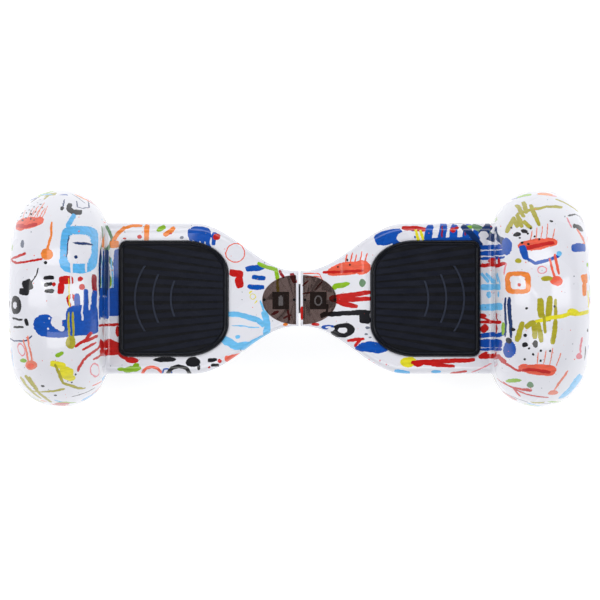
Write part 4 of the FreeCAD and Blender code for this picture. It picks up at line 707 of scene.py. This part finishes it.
def pad_rubber():
    """Foot-pad rubber: navy black, with painted shade darkening the grooves between the ribs and a painted
    highlight on the crests that stand up.
    """
    t = Tree("pad_rubber")
    place = t.place()
    z = t.split(place)[2]
    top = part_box("foot_pad_right")[1].z / MM
    rib_top = top - PAD_RIB_DROP
    raised = t.span(z, rib_top - PAD_RIB_HEIGHT, rib_top)
    crest_highlight = t.span(z, rib_top + 0.2, rib_top + 0.7)
    rim = t.over(z, rib_top + 0.8)
    tone = t.noise(t.stretched(place, (0.3, 1.0, 1.0)), 7.0, 4.0)[0]
    fine = t.noise(place, 0.9, 3.0)[0]
    # painted shade: the grooves between the ribs are coloured darker than the rib tops
    tint = t.mix(raised, colour(6, 8, 15), colour(13, 17, 31))
    # painted highlight: the crests of the raised arcs are coloured lighter
    tint = t.mix(t.times(crest_highlight, 0.45), tint, colour(60, 67, 84))
    tint = t.mix(t.span(tone, 0.5, 0.8, 0.0, 0.5), tint, colour(22, 26, 40))
    tint = t.mix(rim, tint, colour(8, 10, 18))
    return t.finish(
        Base_Color=tint,
        Roughness=t.mix_value(rim, t.span(tone, 0.3, 0.7, 0.34, 0.48), 0.22),
        Specular_IOR_Level=0.22,
        Normal=t.bump(fine, 0.35, 0.0003),
    )


def metal(name, tint, roughness=0.35, brush=(1.0, 1.0, 1.0), size=1.2, depth=0.25, cast=False):
    """Metal, brushed along the axis with the small scale, or cast with a pebbled skin."""
    tint = colour(*tint)
    t = Tree(name)
    place = t.place()
    lines = t.noise(t.stretched(place, brush), size, 3.0)[0]
    tone = t.noise(place, 25.0, 3.0)[0]
    dark = tuple(c * 0.72 for c in tint[:3]) + (1.0,)
    height = t.noise(place, 0.8, 3.0)[0] if cast else lines
    return t.finish(
        Base_Color=t.mix(t.span(tone, 0.3, 0.75), tint, dark),
        Metallic=1.0,
        Roughness=t.span(lines, 0.3, 0.7, roughness - 0.08, roughness + 0.12),
        Normal=t.bump(height, depth, 0.0005 if cast else 0.0002),
    )


def cast_metal(name, tint, roughness, depth):
    return metal(name, tint, roughness, depth=depth, cast=True)


SENSOR_BOARD_Z = (136, 137.6)     # underside and top of each bare board, in millimetres
MAIN_BOARD_Z = (102.4, 104.1)


def circuit(name, board_z, mask, parts):
    """A circuit board: solder mask with copper traces, and darker parts above and below the board."""
    mask, parts = colour(*mask), colour(*parts)
    t = Tree(name)
    place = t.place()
    z = t.split(place)[2]
    grid = t.put(
        "ShaderNodeTexBrick",
        {"Vector": place, "Scale": 0.09, "Mortar Size": 0.035, "Brick Width": 0.9, "Row Height": 0.35},
        offset=0.37, squash=0.7,
    )
    on_trace = grid.outputs["Fac"]
    light = tuple(c * 1.8 for c in mask[:3]) + (1.0,)
    board = t.mix(on_trace, mask, light)
    pads = t.put("ShaderNodeTexVoronoi", {"Vector": place, "Scale": 0.35, "Randomness": 0.2})
    board = t.mix(t.under(pads.outputs["Distance"], 0.16), board, colour(196, 190, 170))
    inside = t.times(t.over(z, board_z[0]), t.under(z, board_z[1]))
    speck = t.noise(place, 3.0, 2.0)[0]
    chip = t.mix(t.span(speck, 0.4, 0.6), parts, tuple(c * 1.5 for c in parts[:3]) + (1.0,))
    return t.finish(
        Base_Color=t.mix(inside, chip, board),
        Roughness=t.mix_value(inside, 0.5, 0.28),
        Normal=t.bump(t.plus(on_trace, speck), 0.2, 0.0002),
    )


PEG_HEAD_RADIUS = 1.7
PEG_INSET = 2.3            # from the cover's end to the middle of its peg


def smoked_cover():
    """Smoked translucent brown acrylic, polished, with black pegs moulded into its two ends."""
    t = Tree("smoked_acrylic")
    place = t.place()
    tone = t.noise(place, 12.0, 2.0)[0]
    x, y = t.split(place)[:2]
    low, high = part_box("indicator_cover_right")
    beside = t.minus(t.absolute(x), (low.x + high.x) / 2 / MM)
    past = t.minus(t.absolute(beside), (high.x - low.x) / 2 / MM - PEG_INSET)
    across = t.minus(y, (low.y + high.y) / 2 / MM)
    squares = t.plus(t.times(past, past), t.times(across, across))
    peg = t.under(squares, PEG_HEAD_RADIUS * PEG_HEAD_RADIUS)
    clear = t.mix(tone, colour(34, 22, 18), colour(44, 30, 25))
    return t.finish(
        Base_Color=t.mix(peg, clear, colour(6, 6, 8)),
        Roughness=t.span(tone, 0.3, 0.7, 0.04, 0.1),
        Alpha=t.mix_value(peg, 0.45, 1.0),
        Normal=t.bump(t.noise(place, 6.0, 1.0)[0], 0.03, 0.0003),
        Coat_Weight=0.6,
    )


def waves(t, value, pitch):
    """A sine from -1 to 1 that repeats each pitch of the value."""
    return t.math("SINE", t.times(value, 2 * math.pi / pitch))


LENS_RIB_RATE = 2.1        # radians of the ribs' wave per millimetre


def lens():
    """Clear ribbed headlamp plastic."""
    t = Tree("headlamp_lens")
    place = t.place()
    ribs = t.math("SINE", t.times(t.split(place)[0], LENS_RIB_RATE))
    tone = t.noise(place, 9.0, 2.0)[0]
    return t.finish(
        Base_Color=t.mix(tone, colour(214, 224, 236), colour(236, 240, 246)),
        Roughness=t.span(ribs, -1.0, 1.0, 0.05, 0.14),
        Alpha=0.55,
        Normal=t.bump(ribs, 0.6, 0.0006),
        Coat_Weight=0.5,
    )


SIGN_X, SIGN_Y = 23.0, -2.5        # the middle of the sign in the display block, in millimetres
SIGN_REACH = (6.0, 7.5)            # the sign lies within this of its middle
SIGN_FLOOR = (0.35, 1.0)           # and its floor between these depths under the block's face


def display():
    """Black display block; the floor of the sunk sign glows grey."""
    t = Tree("display_block")
    place = t.place()
    x, y, z = t.split(place)[:3]
    face_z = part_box("indicator_module_right")[1].z / MM
    sunk = t.under(z, face_z - SIGN_FLOOR[0])
    off_x = t.absolute(t.minus(t.absolute(x), SIGN_X))
    near_x = t.under(off_x, SIGN_REACH[0])
    near_y = t.under(t.absolute(t.minus(y, SIGN_Y)), SIGN_REACH[1])
    high = t.over(z, face_z - SIGN_FLOOR[1])
    lit = t.times(t.times(sunk, high), t.times(near_x, near_y))
    tone = t.noise(place, 3.0, 2.0)[0]
    dark = t.mix(tone, colour(8, 9, 14), colour(15, 17, 24))
    return t.finish(
        Base_Color=t.mix(lit, dark, colour(196, 192, 196)),
        Roughness=t.span(tone, 0.3, 0.7, 0.22, 0.34),
        Normal=t.bump(tone, 0.1, 0.0002),
        Emission_Color=colour(190, 186, 190),
        Emission_Strength=t.times(lit, 0.25),
    )


def wrap_film():
    """Heat-shrink film over the battery cells, which show as rows of round backs."""
    t = Tree("battery_film")
    place = t.place()
    cells = waves(t, t.split(place)[0], 18.5)
    crumple = t.noise(place, 9.0, 4.0)[0]
    return t.finish(
        Base_Color=t.mix(t.span(crumple, 0.3, 0.7), colour(24, 64, 150), colour(40, 92, 188)),
        Roughness=t.span(crumple, 0.3, 0.7, 0.22, 0.4),
        Normal=t.bump(t.plus(t.times(cells, 0.6), crumple), 0.5, 0.002),
    )


def windings():
    """Enamelled copper wire, wound turn on turn."""
    t = Tree("copper_wire")
    place = t.place()
    y, z = t.split(place)[1:3]
    radius = t.vector("LENGTH", t.join(0.0, y, t.minus(z, axle_z)))
    turns = waves(t, radius, 1.1)
    tone = t.noise(place, 5.0, 2.0)[0]
    return t.finish(
        # painted shade and highlight: the copper is coloured darker in the gaps between the turns and lighter
        # on their crowns
        Base_Color=t.mix(t.span(turns, -1.0, 1.0), colour(120, 54, 26), colour(206, 116, 62)),
        Metallic=1.0,
        Roughness=t.span(tone, 0.3, 0.7, 0.28, 0.45),
        Normal=t.bump(turns, 0.8, 0.0006),
    )


def laminations():
    """A stack of thin steel sheets, edge on."""
    t = Tree("stator_steel")
    place = t.place()
    sheets = waves(t, t.split(place)[0], 0.8)
    tone = t.noise(place, 8.0, 3.0)[0]
    return t.finish(
        Base_Color=t.mix(tone, colour(96, 98, 104), colour(138, 140, 146)),
        Metallic=1.0,
        Roughness=t.span(tone, 0.3, 0.7, 0.35, 0.55),
        Normal=t.bump(sheets, 0.5, 0.0003),
    )


def cable_sheath():
    """Corrugated silicone sheath."""
    t = Tree("cable_sheath")
    place = t.place()
    folds = waves(t, t.split(place)[0], 2.4)
    tone = t.noise(place, 6.0, 3.0)[0]
    return t.finish(
        Base_Color=t.mix(tone, colour(20, 20, 22), colour(38, 38, 42)),
        Roughness=t.span(tone, 0.3, 0.7, 0.4, 0.55),
        Normal=t.bump(folds, 0.6, 0.0008),
    )


# What makes the material of each piece, and the values it is made with; a name has no side.
MAKERS = {
    "bottom_shell": (moulded, "black_shell", (30, 31, 34), 0.5, 0.6),
    "chassis": (cast_metal, "cast_aluminium", (168, 170, 174), 0.42, 0.35),
    "axle_clamp": (cast_metal, "clamp_aluminium", (176, 178, 182), 0.38, 0.3),
    "clamp_screws": (metal, "black_screws", (70, 70, 74), 0.36, (1, 1, 0.2)),
    "shell_screws": (metal, "zinc_screws", (188, 188, 182), 0.3, (1, 1, 0.2)),
    "foot_pad": (pad_rubber,),
    "sensor_board": (circuit, "sensor_board", SENSOR_BOARD_Z, (14, 72, 44), (26, 26, 30)),
    "indicator_cover": (smoked_cover,),
    "indicator_module": (display,),
    "headlamp_lens": (lens,),
    "headlamp_board": (moulded, "lamp_board", (226, 228, 224), 0.35, 0.3),
    "tyre": (rubber, "tyre_rubber", (26, 26, 28), 0.68),
    "tyre_valve": (metal, "brass_valve", (176, 142, 74), 0.3),
    "hub_rim": (metal, "rim_aluminium", (148, 150, 154), 0.34, (1, 0.15, 0.15)),
    "hub_cover_outer": (cast_metal, "painted_hub", (40, 42, 46), 0.4, 0.3),
    "hub_cover_inner": (cast_metal, "painted_hub_inner", (46, 48, 52), 0.4, 0.3),
    "hub_screws": (metal, "hub_screws", (176, 176, 178), 0.3, (0.2, 1, 1)),
    "hub_magnets": (metal, "magnet_plating", (150, 150, 156), 0.28, (1, 1, 1), 3.0),
    "motor_bearings": (metal, "bearing_steel", (196, 198, 202), 0.18, (0.3, 1, 1)),
    "motor_axle": (metal, "axle_steel", (166, 168, 172), 0.26, (0.2, 1, 1)),
    "stator_core": (laminations,),
    "stator_windings": (windings,),
    "pivot_tube": (metal, "tube_steel", (150, 152, 156), 0.26, (0.2, 1, 1)),
    "pivot_sleeve": (moulded, "sleeve_plastic", (30, 32, 42), 0.4),
    "pivot_bushes": (moulded, "bush_nylon", (206, 200, 184), 0.4),
    "pivot_circlip": (metal, "circlip_steel", (90, 92, 98), 0.3),
    "pivot_stop_pin": (metal, "pin_steel", (160, 160, 164), 0.25),
    "main_board": (circuit, "main_board", MAIN_BOARD_Z, (12, 66, 42), (30, 30, 34)),
    "battery_pack": (wrap_film,),
    "battery_strap": (metal, "strap_steel", (158, 160, 164), 0.3, (0.2, 1, 1)),
    "centre_cable": (cable_sheath,),
    "power_button": (moulded, "button_plastic", (38, 40, 46), 0.3),
    "power_switch": (metal, "bezel_chrome", (200, 202, 206), 0.12, (1, 1, 1), 4.0, 0.08),
    "charge_socket": (moulded, "socket_plastic", (24, 24, 28), 0.35),
    "charge_pins": (metal, "pin_brass", (204, 170, 96), 0.22),
    "charge_cap": (rubber, "cap_rubber", (28, 28, 32), 0.55),
}
MATERIALS = {}


def material_of(name):
    """The material of a CAD node, made on first use."""
    piece, _, side = name.rpartition("_")
    if side not in SIDES:
        piece = name
    if piece == "top_shell":
        return printed_shell("printed_" + side, side)
    if piece not in MATERIALS:
        maker, *values = MAKERS[piece]
        MATERIALS[piece] = maker(*values)
    return MATERIALS[piece]


for name, node in nodes.items():
    node.data.materials.clear()
    node.data.materials.append(material_of(name))


# --- tyre tread ---
TREAD_PITCHES = 36        # tread blocks round the tyre
STEPS_PER_PITCH = 12
ROWS = 56                 # spaces between the points across the outside of the tyre
GROOVE = 2.6 * MM         # depth of the tread

# The tyre's section. A share is -1 at one bead, 0 at the middle of the tread and 1 at the other bead.
SECTION_SWEEP = math.radians(112)     # from the middle of the tread to a bead, round the section
SECTION_FULLNESS = 0.82               # 1 is round, and less has flatter walls
SECTION_HEIGHT = 47.5 * MM
SHOULDER_POWER = 2.55                 # how late the section falls away from the tread
BEAD_SHARE = 0.8                      # the walls close in past this, by BEAD_CLOSING of the half width
BEAD_CLOSING = 0.14

# The tread, by share. Each ring groove is where it runs and half its width.
TREAD_EDGE, TREAD_FADE = 0.62, 0.06
RING_GROOVES = ((0.2, 0.028), (0.42, 0.03))
MIDDLE_GROOVE = 0.018
CROSS_CUT = 0.17          # width of a cross cut, as a share of a pitch
CROSS_LEAN, CROSS_BEND = 0.22, 6.0    # how far the cross cuts wander, and how fast


def tyre_outline():
    """Points round the tyre's outside, from bead to bead: offset from its middle, radius and share."""
    points = []
    for n in range(ROWS + 1):
        share = -1 + 2 * n / ROWS
        a = share * SECTION_SWEEP
        out = min(1.0, abs(math.sin(a)) ** SECTION_FULLNESS)
        offset = TYRE_HALF_WIDTH * math.copysign(out, a) if a else 0.0
        if abs(share) > BEAD_SHARE:
            offset *= 1 - BEAD_CLOSING * ((abs(share) - BEAD_SHARE) / 0.2) ** 1.5
        radius = TYRE_RADIUS - SECTION_HEIGHT * abs(share) ** SHOULDER_POWER
        points.append((offset, radius, share))
    return points


def groove_depth(share, pitch):
    """How deep the tread is cut: 0 on a block, 1 in a groove. pitch runs 0 to 1 along one block."""
    across = abs(share)
    if across > TREAD_EDGE:
        return 0.0
    lean = CROSS_LEAN * math.sin(across * CROSS_BEND)
    stagger = 0.5 if RING_GROOVES[0][0] < across < RING_GROOVES[1][0] else 0.0
    cross_cut = (pitch + lean + stagger) % 1.0 < CROSS_CUT and across > 0.03
    ring_cut = across < MIDDLE_GROOVE or any(abs(across - at) < half for at, half in RING_GROOVES)
    if not (cross_cut or ring_cut):
        return 0.0
    return 1.0 if across < TREAD_EDGE - TREAD_FADE else (TREAD_EDGE - across) / TREAD_FADE


def tread_tyre(name, middle_x):
    """The tyre with its tread cut in, as a closed ring round the axle."""
    outline = tyre_outline()
    around = TREAD_PITCHES * STEPS_PER_PITCH
    verts, faces = [], []
    columns = ROWS + 1
    for step in range(around):
        turn = 2 * math.pi * step / around
        pitch = (step % STEPS_PER_PITCH) / STEPS_PER_PITCH
        for offset, radius, share in outline:
            r = radius - GROOVE * groove_depth(share, pitch)
            verts.append((middle_x + offset, r * math.sin(turn), AXLE_Z + r * math.cos(turn)))
    for step in range(around):
        after = (step + 1) % around
        for column in range(columns):
            beyond = (column + 1) % columns
            a, b = step * columns + column, step * columns + beyond
            c, d = after * columns + beyond, after * columns + column
            faces.append((a, b, c, d))
    mesh = bpy.data.meshes.new(name)
    mesh.from_pydata(verts, [], faces)
    mesh.update()
    for polygon in mesh.polygons:
        polygon.use_smooth = True
    tyre = bpy.data.objects.new(name, mesh)
    bpy.context.scene.collection.objects.link(tyre)
    tyre.data.materials.append(MATERIALS["tyre"])
    return tyre


for side, sign in SIDES.items():
    tyre = tread_tyre("treaded_tyre_" + side, sign * WHEEL_X)
    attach(tyre, "wheel_" + side)
    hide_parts("tyre_" + side)


# --- stage ---
def floor_material():
    t = Tree("pale_floor")
    place = t.place()
    tone = t.noise(place, 400.0, 2.0)[0]
    return t.finish(
        Base_Color=t.mix(tone, colour(196, 197, 200), colour(200, 201, 204)),
        Roughness=0.8,
        Specular_IOR_Level=0.1,
        Emission_Color=(1.0, 1.0, 1.0, 1.0),
        Emission_Strength=0.74,
    )


def make_floor():
    mesh = bpy.data.meshes.new("floor")
    half = 12.0
    corners = [(-half, -half, 0), (half, -half, 0), (half, half, 0), (-half, half, 0)]
    mesh.from_pydata(corners, [], [(0, 1, 2, 3)])
    floor = bpy.data.objects.new("floor", mesh)
    bpy.context.scene.collection.objects.link(floor)
    mesh.materials.append(floor_material())


LIT_POINT = Vector((0.0, 0.0, 0.1))
SKY_STRENGTH = (0.44, 0.12)           # of the room's light, at the horizon and overhead


def softbox(name, place, size, power):
    """A rectangular light at a place, turned to the middle of the board."""
    data = bpy.data.lights.new(name, "AREA")
    data.shape = "RECTANGLE"
    data.size, data.size_y = size
    data.energy = power
    light = bpy.data.objects.new(name, data)
    bpy.context.scene.collection.objects.link(light)
    light.location = place
    light.rotation_euler = (LIT_POINT - Vector(place)).to_track_quat("-Z", "Y").to_euler()


def light_scene():
    """Light from all round that is strongest at the horizon, and five soft boxes."""
    world = bpy.data.worlds.new("studio")
    world.use_nodes = True
    made = world.node_tree.nodes
    background = made["Background"]
    background.inputs["Color"].default_value = (0.94, 0.96, 1.0, 1.0)
    direction = made.new("ShaderNodeTexCoord")
    parts = made.new("ShaderNodeSeparateXYZ")
    fall = made.new("ShaderNodeMapRange")
    for number, value in enumerate((0.0, 1.0, *SKY_STRENGTH)):
        fall.inputs[number + 1].default_value = value
    links = world.node_tree.links
    links.new(direction.outputs["Generated"], parts.inputs[0])
    links.new(parts.outputs[2], fall.inputs[0])
    links.new(fall.outputs[0], background.inputs["Strength"])
    bpy.context.scene.world = world
    softbox("left_box", (-1.7, 0.2, 1.9), (1.0, 1.8), 17)
    softbox("right_box", (1.7, 0.2, 1.9), (1.0, 1.8), 20)
    softbox("strip", (-1.15, 0.55, 2.3), (0.22, 2.4), 6)
    softbox("rear_box", (0.0, 2.2, 2.4), (2.6, 1.0), 27)
    softbox("front_box", (0.0, -2.2, 2.4), (2.6, 1.0), 25)


CAMERA_PLACE = (0.0006, -0.0018, 5.0)
FRAME_WIDTH = 0.7296      # width of the view at the height of the arches' shoulders
SHOULDER_Z = 0.205


def make_camera():
    """A camera straight above the board, looking down with the front of the board below."""
    data = bpy.data.cameras.new("camera")
    data.sensor_width = 36.0
    data.lens = data.sensor_width * (CAMERA_PLACE[2] - SHOULDER_Z) / FRAME_WIDTH
    data.clip_end = 50.0
    camera = bpy.data.objects.new("camera", data)
    bpy.context.scene.collection.objects.link(camera)
    camera.location = CAMERA_PLACE
    bpy.context.scene.camera = camera


make_floor()
light_scene()
make_camera()
bpy.context.scene.view_settings.view_transform = "Standard"
